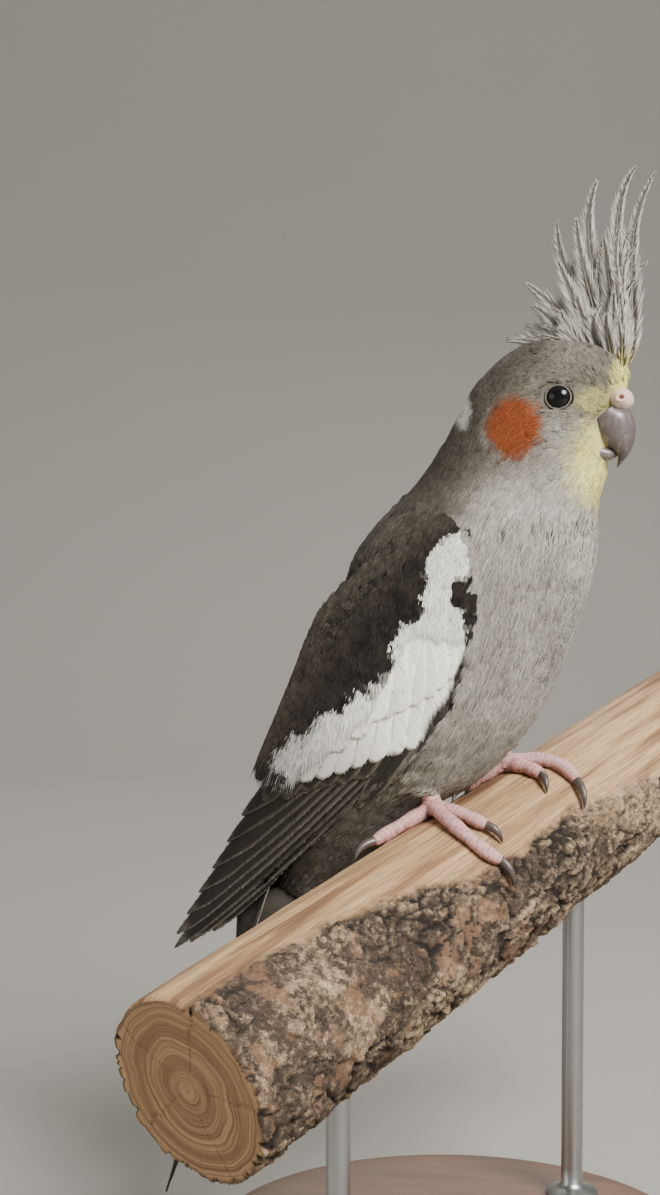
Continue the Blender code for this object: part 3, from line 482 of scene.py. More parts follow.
@dataclass
class WingForm:
    """Folded right wing, by places along and across it and heights over its inner face."""

    shoulder: Pair = (4.0, 84.0)
    tip: Pair = (-92.0, -52.0)
    stations: Table = (
        (-3.5, -2.5, 2.5, -0.5, 23.5, 23.0, 23.4),
        (8.0, -16.5, 8.0, -4.0, 24.9, 20.0, 24.2),
        (23.0, -27.0, 13.0, -7.0, 25.7, 15.5, 24.0),
        (40.0, -33.0, 18.0, -9.0, 25.2, 7.0, 22.0),
        (55.0, -33.0, 17.5, -9.0, 24.0, 4.2, 21.3),
        (70.0, -30.0, 14.0, -9.0, 22.5, 3.2, 20.3),
        (91.0, -24.0, 9.5, -7.0, 19.0, 2.6, 17.6),
        (112.0, -18.0, 5.5, -5.0, 15.0, 2.4, 14.2),
        (135.0, -14.0, 3.0, -4.0, 11.0, 2.4, 10.4),
        (155.0, -8.5, 1.5, -3.0, 7.8, 3.0, 7.6),
        (170.0, -4.0, 1.0, -1.0, 6.0, 4.0, 5.8),
    )
    top_share: float = -0.15
    white_low: Pairs = (
        (0.0, -6.5), (5.0, -8.5), (12.0, -12.5), (17.7, -12.0), (21.0, -16.0), (25.0, -23.0),
        (37.0, -27.0), (52.0, -28.5), (61.0, -29.5),
        (65.0, -27.0), (70.0, -24.0), (79.0, -18.0), (87.0, -12.0), (101.0, 0.0))
    white_top: Pairs = (
        (0.0, -7.0), (6.0, -4.0), (15.0, -4.0), (23.0, -7.0), (35.0, -8.0), (46.0, -8.5),
        (58.0, -10.0), (69.0, -6.0), (84.0, -3.0), (96.0, 2.0), (104.0, 4.0))
    white_span: Pair = (3.0, 104.0)

    def white(self, place: Array) -> Array:
        """Strength of the white patch at places, with an edge notched by feather tips."""
        along, across = place[..., 0], place[..., 1]
        low = curve_rows(along, np.array(self.white_low))[..., 0]
        top = curve_rows(along, np.array(self.white_top))[..., 0]
        run = packed(along * 0.07 + across * 0.02, across * 0.34 + along * 0.2)
        notch = 2.6 * noise(run, 33) + 0.2 * noise(run * 3.1, 34)
        inside = np.minimum(across - low + 0.5 * notch, top - across + notch)
        share = step(inside, -0.5, 0.7) * step(along, *(np.array([-1.0, 1.0]) + self.white_span[0]))
        return share * step(along, self.white_span[1], self.white_span[1] - 6.0)

    @property
    def along(self) -> Array:
        """Unit vector from shoulder to tip in the X Z plane."""
        return unit(np.array(self.tip) - np.array(self.shoulder))

    @property
    def across(self) -> Array:
        """Unit vector toward the back in the X Z plane."""
        return np.array([self.along[1], -self.along[0]])

    def row(self, along: Array) -> Array:
        """Low edge, top edge, crest, and distances from the middle plane at crest, top and low."""
        return curve_rows(along, np.array(self.stations))

    def edges(self, along: Array) -> tuple[Array, Array]:
        """Low and top edge at places along the wing."""
        low, top = np.moveaxis(self.row(along)[..., :2], -1, 0)
        return low, top

    def held(self, place: Array) -> Array:
        """Distance across the wing, kept close to its edges."""
        low, top = self.edges(place[..., 0])
        return np.clip(place[..., 1], low - 1.0, top + 0.8)

    def inner(self, place: Array) -> Array:
        """Points of the inner face at places along and across the wing."""
        low, top, crest, out_crest, out_top, out_low = np.moveaxis(self.row(place[..., 0]), -1, 0)
        across = place[..., 1]
        above = np.clip((top - across) / (top - crest), self.top_share, 1.0)
        below = (crest - across) / (crest - low)
        out_above = out_top + (out_crest - out_top) * np.sin(above * math.pi / 2)
        out_below = out_crest - (out_crest - out_low) * np.clip(below, 0, 1.3) ** 2
        out = np.where(across > crest, out_above, out_below)
        flat = (np.array(self.shoulder) + place[..., :1] * self.along
                + place[..., 1:2] * self.across)
        return packed(flat[..., 0], -out, flat[..., 1])

    def point(self, place: Array, height: Array) -> Array:
        """Points at heights over the inner face."""
        ahead, aside = np.array([0.5, 0.0]), np.array([0.0, 0.5])
        run_along = self.inner(place + ahead) - self.inner(place - ahead)
        run_across = self.inner(place + aside) - self.inner(place - aside)
        out = unit(np.cross(run_along, run_across))
        out = np.where(out[..., 1:2] > 0, -out, out)
        return self.inner(place) + out * height[..., None]

    def locate(self, points: Array) -> Array:
        """Places along and across the wing of points seen from the side."""
        flat = points[..., [0, 2]] - np.array(self.shoulder)
        return packed(flat @ self.along, flat @ self.across)

    def cover(self, points: Array, margin: float) -> Array:
        """Distance of points inside the wing's outline, less a margin, seen from the side."""
        place = self.locate(points)
        low, top = self.edges(place[..., 0])
        inside = np.minimum(place[..., 1] - low, top - place[..., 1])
        return np.minimum(inside, place[..., 0] + 3.5) - margin


@dataclass
class BranchForm:
    """Cut branch: bare wood on top and bark on the near side."""

    radius: float = 24.4
    taper: float = 0.0192
    ends: Pair = (-122.0, 136.0)
    middle: Triple = (5.0, -10.3, -28.1)
    direction: Triple = (0.437, 0.850, 0.296)
    bark_edge: Pairs = (
        (-100.0, 17.0), (-50.0, 29.0), (-5.0, 55.0), (45.0, 62.0), (100.0, 74.0))
    under_end: float = 300.0
    bark_depth: float = 1.2

    def frame(self) -> tuple[Array, Array, Array, Array]:
        """Middle, and the along, top and forward unit vectors."""
        along = unit(np.array(self.direction))
        top = unit(np.array([0.0, 0.0, 1.0]) - along * along[2])
        return np.array(self.middle), along, top, np.cross(along, top)

    def bark(self, degrees: Array, place: Array, ragged: Array | float = 0.0) -> Array:
        """Share of the bark's depth at angles from the top and places along."""
        edge = curve_rows(place, np.array(self.bark_edge))[..., 0] + ragged
        turned = np.mod(degrees, 360.0)
        share = np.clip((turned - edge + 4.0) / 8.0, 0, 1)
        return share * np.clip((self.under_end + ragged - turned) / 6.0, 0, 1)

    def point(self, degrees: Array | float, place: Array | float, height: Array | float) -> Array:
        """Points at heights over the branch's smooth surface, bark included."""
        middle, along, top, forward = self.frame()
        degrees, place, height = np.broadcast_arrays(degrees, place, height)
        turn = np.radians(degrees)
        out = top * np.cos(turn)[..., None] + forward * np.sin(turn)[..., None]
        reach = self.radius - self.taper * place + height
        reach = reach + self.bark_depth * self.bark(degrees, place)
        return middle + along * place[..., None] + out * reach[..., None]


BODY = BodyForm()
WING = WingForm()
BRANCH = BranchForm()


@dataclass
class Spot:
    """Soft-edged patch of colour seen from the side."""

    centre: Pair
    radii: Pair
    soft: float = 0.25
    turn: float = 0.0

    def mask(self, points: Array, rough: float = 0.0) -> Array:
        """Strength of the patch at points, with an uneven edge."""
        flat = points[:, [0, 2]] - np.array(self.centre)
        cos, sin = math.cos(math.radians(self.turn)), math.sin(math.radians(self.turn))
        u = (flat[:, 0] * cos + flat[:, 1] * sin) / self.radii[0]
        v = (-flat[:, 0] * sin + flat[:, 1] * cos) / self.radii[1]
        edge = 1.0 + rough * noise(points * 0.45, 7)
        return step(np.hypot(u, v), edge + self.soft, edge - self.soft)


@dataclass
class Markings:
    """Colours of the plumage by place, with some painted shade: orange, yellow, shade from dark to pale,
    and white.
    """

    cheek: Spot = field(default_factory=lambda: Spot((20.6, 111.4), (8.0, 9.0), 0.26))
    cheek_rim: Spot = field(default_factory=lambda: Spot((20.2, 110.6), (10.4, 11.4), 0.2))
    nape: Spot = field(default_factory=lambda: Spot((3.4, 117.0), (3.2, 5.6), 0.35, 18.0))
    forehead: Spot = field(default_factory=lambda: Spot((53.0, 127.2), (5.4, 5.2), 0.5))
    lores: Spot = field(default_factory=lambda: Spot((43.5, 119.8), (6.0, 4.0), 0.5))
    throat: Spot = field(default_factory=lambda: Spot((46.0, 98.5), (9.5, 14.0), 0.45, 12.0))
    face: Spot = field(default_factory=lambda: Spot((36.0, 106.0), (13.0, 11.0), 0.5))

    def marks(self, points: Array) -> Array:
        """Orange, yellow, shade and white at points of the bird."""
        station, back, _ = BODY.place(points)
        side = np.abs(points[:, 1])
        high = points[:, 2]
        blotch = noise(points * 0.11, 3) * 0.6 + noise(points * 0.27, 4) * 0.4
        orange = self.cheek.mask(points, 0.10) * step(side, 7.0, 10.0)
        white = self.nape.mask(points, 0.2) * step(back, 0.35, 0.6) * 0.7
        yellow = np.maximum(self.forehead.mask(points, 0.2) * 0.75,
                            self.lores.mask(points, 0.2) * 0.32)
        yellow = np.maximum(yellow, self.throat.mask(points, 0.15) * 0.7)
        trunk = step(back, 0.62, -0.12) * 0.34 + 0.19
        # darker low on the front and toward the bottom: partly the vent's own darker grey, partly painted
        # shade under the body
        trunk -= 0.28 * step(high, 18.0, -6.0) * step(back, -0.9, 0.2)
        trunk -= 0.06 * step(high, 40.0, 5.0) - 0.05 * noise(points * 0.07, 11)
        # back of the head darker: partly its own grey, partly painted shade on the side away from the
        # light
        head = 0.33 - 0.12 * step(back, 0.1, 0.6) + self.face.mask(points, 0.15) * 0.10
        head = np.maximum(head, 0.42 * (self.cheek_rim.mask(points) - self.cheek.mask(points)))
        head = np.maximum(head, 0.42 * step(high, 112.0, 94.0) * step(back, 0.35, -0.2))
        shade = head + (trunk - head) * step(station, 7.0, 9.6)
        shade = np.clip(shade + 0.05 * blotch, 0.0, 1.0)
        return packed(orange, yellow, shade, white)

    def bars(self, points: Array) -> Array:
        """Dark cross bars low on the flanks and under the tail."""
        station, back, _ = BODY.place(points)
        region = step(station, 14.2, 16.5) * step(back, -1.0, -0.3)
        wave = np.sin(station * 4.6 * math.pi + 1.6 * noise(points * 0.2, 9))
        return region * step(wave, -0.3, 0.7)


MARKINGS = Markings()


@dataclass
class Barbs:
    """Fine pointed blades, each a closed three-sided form bent at its widest place."""

    patch: float = 0.0015
    size: int = 5
    triangles: int = 6

    def faces(self, count: int) -> Array:
        """Three-sided faces of a number of blades."""
        first = (np.arange(count) * self.size)[:, None]
        tris = []
        for k, n in ((1, 2), (2, 3), (3, 1)):
            tris += [first + np.array([0, n, k]), first + np.array([k, n, 4])]
        return np.concatenate(tris)

    def add(self, surface: Surface, roots: Array, mids: Array, tips: Array, outs: Array,
            widths: Array, spots: Array, marks: Array, tones: Array, bars: bool = False,
            soft: bool = False) -> None:
        """Add many blades.

        Args:
            surface: the piece they join.
            roots: first point of each.
            mids: point half way along each.
            tips: last point of each.
            outs: outward direction at each.
            widths: greatest width of each.
            spots: place of each on the unwrap.
            marks: orange, yellow, shade and white of each.
            tones: feather and barb tone of each.
            bars: true where cross bars may show.
            soft: true where light falls on them as on the body under them.
        """
        count = len(roots)
        if soft:
            aside = unit(np.cross(tips - roots, outs)) * 0.5
            lean = unit(tips - roots) * 0.18
            rows = np.stack([outs, outs - aside, outs + lean, outs + aside, outs + lean], 1)
            surface.normals.append(unit(rows).reshape(-1, 3))
        half = unit(np.cross(tips - roots, outs)) * (widths / 2)[:, None]
        crest = outs * (widths * 0.42)[:, None]
        points = np.stack([roots, mids - half, mids + crest, mids + half, tips], 1)
        along = np.array([0.0, 0.5, 0.5, 0.5, 1.0])
        flat = points.reshape(-1, 3)
        strand = np.zeros((count, self.size, 4))
        # share along each barb, from which the plumage finish paints shade toward the root
        strand[..., 0] = along
        strand[..., 1:3] = tones[:, None]
        if bars:
            strand[..., 3] = MARKINGS.bars(flat).reshape(count, self.size)
        local = packed([0.0, -0.8, 0.0, 0.8, 0.0], along * 2 - 1) * self.patch
        surface.add(flat, None, self.faces(count), patch=(spots[:, None] + local).reshape(-1, 2),
                    marks=np.repeat(marks, self.size, axis=0), strand=strand.reshape(-1, 4))


BARBS = Barbs()


def strand_values(points: Array, tone: float = 0.5) -> Array:
    """Strand numbers of a plain surface, which carries no single barb."""
    rows = np.zeros((len(points), 4))
    # share along of a barb's lower part, so the skin gets part of the painted root shade
    rows[:, 0] = 0.35
    rows[:, 1:3] = tone
    rows[:, 3] = MARKINGS.bars(points)
    return rows


def body_unwrap(points: Array) -> Array:
    """Place of points on the body's own unwrap: round it and along it."""
    station, back, _ = BODY.place(points)
    row = through(BODY.sections, station)
    wide = points[:, 1] / np.maximum(row[:, 4], 1.0)
    turn = np.arctan2(wide, back) / math.tau + 0.5
    return packed(0.02 + 0.96 * turn, 0.98 - 0.96 * station / 20.0)


@dataclass
class ToePlan:
    """One toe: angle round the branch and place along it past the root, at the end, at the claw."""

    bend: Pair
    end: Pair
    claw: Pair


@dataclass
class FootPlan:
    """Where one foot grips the branch."""

    side: Side
    hub: Pair
    toes: tuple[ToePlan, ...]

    def hub_point(self) -> Array:
        """Point where the toes meet."""
        return BRANCH.point(*self.hub, 3.3)

    def shank_top(self) -> Array:
        """Top of the short bare shank."""
        return self.hub_point() + np.array([-0.8, 0.0, 5.2])


FEET = (
    FootPlan(Side.RIGHT, (-11.9, -0.1), (
        ToePlan((26.0, -8.6), (56.0, -6.2), (73.0, -6.9)),
        ToePlan((12.0, -1.0), (31.5, 0.2), (46.0, 0.7)),
        ToePlan((-22.0, -9.0), (-27.0, -22.0), (-34.0, -29.0)),
        ToePlan((-34.0, -2.0), (-58.0, 1.0), (-77.0, 0.0)))),
    FootPlan(Side.LEFT, (-9.5, 35.6), (
        ToePlan((14.0, 43.0), (42.0, 42.4), (60.0, 37.8)),
        ToePlan((5.0, 35.4), (23.0, 34.9), (35.0, 30.2)),
        ToePlan((-18.0, 27.6), (-14.0, 17.6), (-15.0, 9.5)),
        ToePlan((-32.0, 37.0), (-55.0, 38.5), (-73.0, 36.0)))),
)


Value = float | Socket
Colour = Triple | Socket
Stops = tuple[tuple[float, Triple], ...]


def tint(red: float, green: float, blue: float) -> Triple:
    """Linear colour from display values of 0 to 255."""
    shares = (c / 255.0 for c in (red, green, blue))
    return tuple(s / 12.92 if s <= 0.04045 else ((s + 0.055) / 1.055) ** 2.4 for s in shares)


@dataclass
class NodeKit:
    """Short calls that add nodes to one tree."""

    tree: bpy.types.NodeTree

    def put(self, socket: Socket, value: object) -> None:
        """Link a socket or set its own value."""
        if isinstance(value, Socket):
            self.tree.links.new(value, socket)
        elif isinstance(value, tuple) and len(value) == 3 and socket.type == "RGBA":
            socket.default_value = (*value, 1.0)
        else:
            socket.default_value = value

    def node(self, kind: str, *values: object, **settings: object) -> bpy.types.Node:
        """New node of a kind, with values for its first inputs, and its settings."""
        made = self.tree.nodes.new("ShaderNode" + kind)
        for name, value in settings.items():
            setattr(made, name, value)
        for socket, value in zip(made.inputs, values):
            self.put(socket, value)
        return made

    def math(self, operation: str, first: Value, *rest: Value) -> Socket:
        """Result of an operation on one value, or on several in turn."""
        if not rest:
            return self.node("Math", first, operation=operation).outputs[0]
        for value in rest:
            first = self.node("Math", first, value, operation=operation).outputs[0]
        return first

    def times(self, *values: Value) -> Socket:
        """Product of values."""
        return self.math("MULTIPLY", *values)

    def plus(self, *values: Value) -> Socket:
        """Sum of values."""
        return self.math("ADD", *values)

    def minus(self, first: Value, second: Value) -> Socket:
        """Difference of two values."""
        return self.math("SUBTRACT", first, second)

    def swing(self, value: Value, reach: float, middle: float = 0.5) -> Socket:
        """Value from 0 to 1 turned into a swing of a reach round its middle."""
        return self.times(self.minus(value, middle), reach)

    def rise(self, value: Value, low: Value, high: Value) -> Socket:
        """Smooth rise of a value from 0 at low to 1 at high."""
        return self.node("MapRange", value, low, high, 0.0, 1.0,
                         interpolation_type="SMOOTHSTEP").outputs[0]

    def span(self, value: Value, low: Value, high: Value) -> Socket:
        """Value from 0 to 1 spread between low and high."""
        return self.node("MapRange", value, 0.0, 1.0, low, high).outputs[0]

    def layers(self, colour: Colour, *covers: tuple[Value, Colour]) -> Socket:
        """Colour under others, each laid on by its share."""
        for share, cover in covers:
            made = self.node("Mix", share, data_type="RGBA")
            self.put(made.inputs[6], colour)
            self.put(made.inputs[7], cover)
            colour = made.outputs[2]
        return colour

    def shaded(self, colour: Colour, share: Value) -> Socket:
        """Colour made darker or paler by a factor."""
        made = self.node("VectorMath", colour, operation="SCALE")
        self.put(made.inputs[3], share)
        return made.outputs[0]

    def vector(self, *values: Value) -> Socket:
        """Vector from three values."""
        return self.node("CombineXYZ", *values).outputs[0]

    def rows(self, name: str) -> tuple[Socket, ...]:
        """The four numbers that the mesh holds under a name."""
        made = self.node("Attribute", attribute_name=name)
        return (*self.node("SeparateColor", made.outputs["Color"]).outputs[:3],
                made.outputs["Alpha"])

    def place(self) -> Socket:
        """Place on the object in metres."""
        return self.node("TexCoord").outputs["Object"]

    def places(self) -> tuple[Socket, ...]:
        """Place on the object in metres, as its three numbers."""
        return tuple(self.node("SeparateXYZ", self.place()).outputs)

    def noise(self, vector: Value, scale: float, detail: float = 2.0, rough: float = 0.5,
              twist: float = 0.0, output: str | int = 0) -> Socket:
        """Soft noise from 0 to 1."""
        made = self.node("TexNoise", vector)
        for name, value in (("Scale", scale), ("Detail", detail), ("Roughness", rough),
                            ("Distortion", twist)):
            made.inputs[name].default_value = value
        return made.outputs[output]

    def specks(self, vector: Value, scale: float, output: str = "Distance") -> Socket:
        """Distance from scattered cells, or their colour."""
        made = self.node("TexVoronoi", vector)
        made.inputs["Scale"].default_value = scale
        return made.outputs[output]

    def ramp(self, value: Value, stops: Stops) -> Socket:
        """Colour read from a row of stops."""
        made = self.node("ValToRGB", value)
        bar = made.color_ramp
        while len(bar.elements) < len(stops):
            bar.elements.new(1.0)
        for element, (at, colour) in zip(bar.elements, stops):
            element.position = at
            element.color = (*colour, 1.0)
        return made.outputs[0]

    def bump(self, height: Value, distance: float, strength: float = 1.0) -> Socket:
        """Surface normal bent by a height from 0 to 1 over a distance in metres."""
        made = self.node("Bump")
        for name, value in (("Distance", distance), ("Strength", strength), ("Height", height)):
            self.put(made.inputs[name], value)
        return made.outputs[0]

    def group(self, name: str, **values: object) -> dict[str, Socket]:
        """Outputs by name of a shared group, given the values of its inputs."""
        made = self.node("Group", node_tree=bpy.data.node_groups[name])
        for label, value in values.items():
            self.put(made.inputs[label], value)
        return {socket.name: socket for socket in made.outputs}


class Effects:
    """Shader node groups shared by the materials."""

    BARBS = "Barb lines"
    MOTTLE = "Mottle and wear"
    GRAIN = "Wood grain"

    @classmethod
    def build(cls) -> None:
        """Make every group once."""
        cls.group(cls.BARBS, "Float", ("Along", "Across", "Tone"), cls.barb_lines)
        cls.group(cls.MOTTLE, "Vector", ("Vector", "Stretch"), cls.mottle)
        cls.group(cls.GRAIN, "Float", ("Along", "Round", "Deep"), cls.wood_grain)

    @staticmethod
    def group(name: str, kind: str, inputs: tuple[str, ...],
              fill: Callable[..., dict[str, Socket]]) -> None:
        """Make a shader node group whose outputs are values, unless it is there already.

        Args:
            name: the group's name.
            kind: socket kind of its inputs.
            inputs: name of each input.
            fill: adds the nodes to a kit, given the inputs, and returns the outputs by name.
        """
        if name in bpy.data.node_groups:
            return
        tree = bpy.data.node_groups.new(name, "ShaderNodeTree")
        for label in inputs:
            tree.interface.new_socket(label, in_out="INPUT", socket_type="NodeSocket" + kind)
        start = tree.nodes.new("NodeGroupInput")
        kit = NodeKit(tree)
        outputs = fill(kit, *(start.outputs[label] for label in inputs))
        for label in outputs:
            tree.interface.new_socket(label, in_out="OUTPUT", socket_type="NodeSocketFloat")
        end = tree.nodes.new("NodeGroupOutput")
        for label, socket in outputs.items():
            kit.put(end.inputs[label], socket)

    @staticmethod
    def barb_lines(kit: NodeKit, along: Socket, across: Socket, tone: Socket) -> dict[str, Socket]:
        """Fine lines of barbs that leave a shaft at a slant, in millimetres."""
        wide = kit.math("ABSOLUTE", across)
        start = kit.minus(along, kit.times(wide, 1.25))
        seed = kit.times(tone, 91.0)
        near = kit.vector(kit.times(start, 3.4), kit.times(wide, 0.12), seed)
        far = kit.vector(kit.times(start, 0.42), kit.times(wide, 0.1), seed)
        return {"Lines": kit.noise(near, 1.0, 3.0, 0.6),
                "Splits": kit.rise(kit.noise(far, 1.0), 0.62, 0.72)}

    @staticmethod
    def mottle(kit: NodeKit, place: Socket, stretch: Socket) -> dict[str, Socket]:
        """Uneven tone and fine pits over a hard or bare surface, sizes per metre."""
        scaled = kit.node("VectorMath", place, stretch, operation="MULTIPLY").outputs[0]
        return {"Broad": kit.noise(scaled, 1.0, 3.0, 0.55), "Fine": kit.noise(scaled, 7.0, 4.0, 0.6),
                "Pits": kit.specks(scaled, 11.0)}

    @staticmethod
    def wood_grain(kit: NodeKit, along: Socket, wide: Socket, deep: Socket) -> dict[str, Socket]:
        """Long wood fibres, pores and darker bands; along and round are in millimetres."""
        def at(length: float, width: float) -> Socket:
            """Place with its own scales along and round."""
            return kit.vector(kit.times(along, length), kit.times(wide, width),
                              kit.times(deep, width))
        return {"Fibres": kit.noise(at(0.05, 1.9), 1.0, 5.0, 0.62, 0.3),
                "Bands": kit.noise(at(0.012, 0.16), 1.0, 3.0, 0.5, 0.6),
                "Pores": kit.rise(kit.noise(at(0.22, 4.2), 1.0, 2.0, 0.6), 0.60, 0.68)}


@dataclass(frozen=True)
class Finish:
    """Base of every finish: a material with one Principled shader."""

    name: str = "finish"
    roughness: float = 0.6
    specular: float = 0.5
    sheen: float = 0.0
    coat: float = 0.0
    coat_roughness: float = 0.1
    subsurface: float = 0.0
    metallic: float = 0.0

    def paint(self, kit: NodeKit) -> dict[str, Socket]:
        """Nodes for the shader's sockets, by the sockets' names."""
        return {}

    def make(self) -> Material:
        """Build the material."""
        made = bpy.data.materials.new(self.name)
        made.use_nodes = True
        shader = made.node_tree.nodes["Principled BSDF"]
        for label, value in (
                ("Roughness", self.roughness), ("Specular IOR Level", self.specular),
                ("Sheen Weight", self.sheen), ("Coat Weight", self.coat),
                ("Coat Roughness", self.coat_roughness), ("Metallic", self.metallic),
                ("Subsurface Weight", self.subsurface), ("Subsurface Scale", MM)):
            shader.inputs[label].default_value = value
        kit = NodeKit(made.node_tree)
        for label, socket in self.paint(kit).items():
            kit.put(shader.inputs[label], socket)
        return made


@dataclass(frozen=True)
class Plumage(Finish):
    """Soft body feathers, coloured by the marks that skin and coat share."""

    name: str = "plumage"
    roughness: float = 0.85
    specular: float = 0.15
    sheen: float = 0.05
    stops: Stops = (
        (0.0, tint(26, 23, 20)), (0.15, tint(62, 56, 48)), (0.35, tint(104, 98, 87)),
        (0.65, tint(176, 171, 160)), (1.0, tint(240, 237, 227)))
    orange: Triple = tint(124, 62, 30)
    yellow: Triple = tint(226, 216, 122)
    white: Triple = tint(232, 229, 219)
    bar: Triple = tint(70, 62, 50)

    def paint(self, kit: NodeKit) -> dict[str, Socket]:
        """Greys by place under yellow, white, orange and bars, streaked barb by barb, and darker toward
        each barb's root as painted shade.
        """
        orange, yellow, shade, white = kit.rows("marks")
        along, feather, barb, bars = kit.rows("strand")
        place = kit.place()
        soft = kit.noise(place, 260.0, 3.0)
        level = kit.plus(shade, kit.swing(feather, 0.07), kit.swing(soft, 0.1))
        colour = kit.layers(kit.ramp(level, self.stops), (yellow, self.yellow),
                            (white, self.white), (orange, self.orange),
                            (kit.times(bars, 0.8), self.bar))
        # painted shade: each barb darker toward its root, where it lies under the others
        depth = kit.span(kit.rise(along, -0.1, 0.5), 0.72, 1.0)
        return {"Base Color": kit.shaded(colour, kit.times(kit.span(barb, 0.6, 1.24), depth)),
                "Normal": kit.bump(kit.noise(place, 2600.0, 3.0), 0.00012, 0.5)}


@dataclass(frozen=True)
class VaneFinish(Finish):
    """Flat feathers with a shaft, slanting barbs and pale edges."""

    name: str = "vanes"
    roughness: float = 0.66
    specular: float = 0.12
    dark: Triple = tint(24, 22, 19)
    middle: Triple = tint(88, 82, 74)
    white: Triple = tint(236, 233, 222)
    edge: Triple = tint(118, 112, 100)

    def paint(self, kit: NodeKit) -> dict[str, Socket]:
        """Web, rim and shaft, with the lines and splits of the barbs."""
        share, across, tone, length = kit.rows("vane")
        half, white, pale, shade = kit.rows("web")
        along = kit.times(share, length, 100.0)
        wide = kit.times(across, half, 10.0)
        barbs = kit.group(Effects.BARBS, Along=along, Across=wide, Tone=tone)
        lines, splits = barbs["Lines"], barbs["Splits"]
        rim = kit.math("MAXIMUM", kit.rise(kit.math("ABSOLUTE", across), 0.66, 1.0),
                       kit.rise(share, 0.93, 1.0))
        colour = kit.layers(self.dark, (shade, self.middle), (white, self.white),
                            (kit.times(rim, pale), self.edge))
        shaft = kit.times(kit.rise(kit.math("ABSOLUTE", wide), 0.42, 0.2),
                          kit.rise(share, 0.97, 0.6))
        factor = kit.times(kit.span(lines, 0.5, 1.46), kit.span(splits, 1.0, 0.78),
                           kit.span(tone, 0.86, 1.14), kit.span(shaft, 1.0, 0.72))
        height = kit.minus(kit.plus(kit.times(lines, 0.6), kit.times(shaft, 0.8)),
                           kit.times(splits, 0.5))
        return {"Base Color": kit.shaded(colour, factor), "Normal": kit.bump(height, 0.00022, 0.8),
                "Roughness": kit.span(lines, 0.5, 0.75)}


@dataclass(frozen=True)
class EyeFinish(Finish):
    """Near-black wet eye with a brown iris."""

    name: str = "eye"
    roughness: float = 0.25
    specular: float = 0.1
    coat: float = 0.45
    coat_roughness: float = 0.02
    iris: Triple = tint(15, 11, 9)
    pupil: Triple = tint(5, 4, 4)

    def paint(self, kit: NodeKit) -> dict[str, Socket]:
        """Rayed iris between the pupil and the dark rim."""
        out, turn, _, _ = kit.rows("iris")
        rays = kit.noise(kit.vector(kit.times(turn, 40.0), out, 0.0), 1.0, 3.0)
        colour = kit.shaded(self.iris, kit.span(rays, 0.5, 1.6))
        return {"Base Color": kit.layers(colour, (kit.rise(out, 0.52, 0.46), self.pupil),
                                         (kit.rise(out, 0.8, 0.9), self.pupil))}


@dataclass(frozen=True)
class BareSkin(Finish):
    """Bare skin: cere, eyelids, and the scaled feet."""

    name: str = "bare_skin"
    roughness: float = 0.55
    subsurface: float = 0.15
    base: Triple = tint(196, 152, 147)
    # colour of the painted shade in the hollows of folds, scutes and nostrils
    crease_shade: Triple = tint(104, 66, 62)
    flush: Triple = tint(178, 118, 112)
    grain: float = 900.0
    depth: float = 0.00015

    def paint(self, kit: NodeKit) -> dict[str, Socket]:
        """Skin whose folds run from 0 in a hollow to 1 on a ridge, by the mesh; the hollows get painted
        shade.
        """
        ridge, flush, tone, _ = kit.rows("fold")
        spots = kit.group(Effects.MOTTLE, Vector=kit.place(), Stretch=(self.grain,) * 3)
        # painted shade: hollows darker than ridges
        colour = kit.layers(self.crease_shade, (kit.rise(ridge, 0.1, 0.75), self.base),
                            (kit.times(flush, spots["Broad"]), self.flush))
        factor = kit.times(kit.span(spots["Fine"], 0.82, 1.18), kit.span(tone, 0.85, 1.12))
        height = kit.plus(kit.times(spots["Pits"], 0.7), spots["Fine"])
        return {"Base Color": kit.shaded(colour, factor), "Normal": kit.bump(height, self.depth, 0.7),
                "Roughness": kit.span(spots["Broad"], 0.42, 0.68)}


@dataclass(frozen=True)
class Horn(Finish):
    """Bill and claws: hard horn with growth lines, paler where it is thin."""

    name: str = "horn"
    roughness: float = 0.36
    coat: float = 0.25
    coat_roughness: float = 0.25
    base: Triple = tint(86, 76, 74)
    thin: Triple = tint(160, 150, 140)
    deep: Triple = tint(66, 58, 56)
    stretch: Triple = (700.0, 700.0, 260.0)

    def paint(self, kit: NodeKit) -> dict[str, Socket]:
        """Horn by the mesh's share to the tip, its ridge and its edge."""
        tip, ridge, edge, _ = kit.rows("horn")
        spots = kit.group(Effects.MOTTLE, Vector=kit.place(), Stretch=self.stretch)
        lines = kit.noise(kit.vector(kit.times(tip, 26.0), kit.times(ridge, 1.5), 0.0), 1.0, 3.0)
        colour = kit.layers(self.base, (kit.rise(tip, 0.55, 1.0), self.deep),
                            (kit.times(edge, 0.8), self.thin),
                            (kit.times(kit.rise(spots["Broad"], 0.5, 0.75), 0.3), self.thin))
        factor = kit.times(kit.span(lines, 0.8, 1.2), kit.span(spots["Fine"], 0.9, 1.1))
        return {"Base Color": kit.shaded(colour, factor), "Normal": kit.bump(lines, 0.00012, 0.6),
                "Roughness": kit.span(spots["Broad"], 0.28, 0.5)}


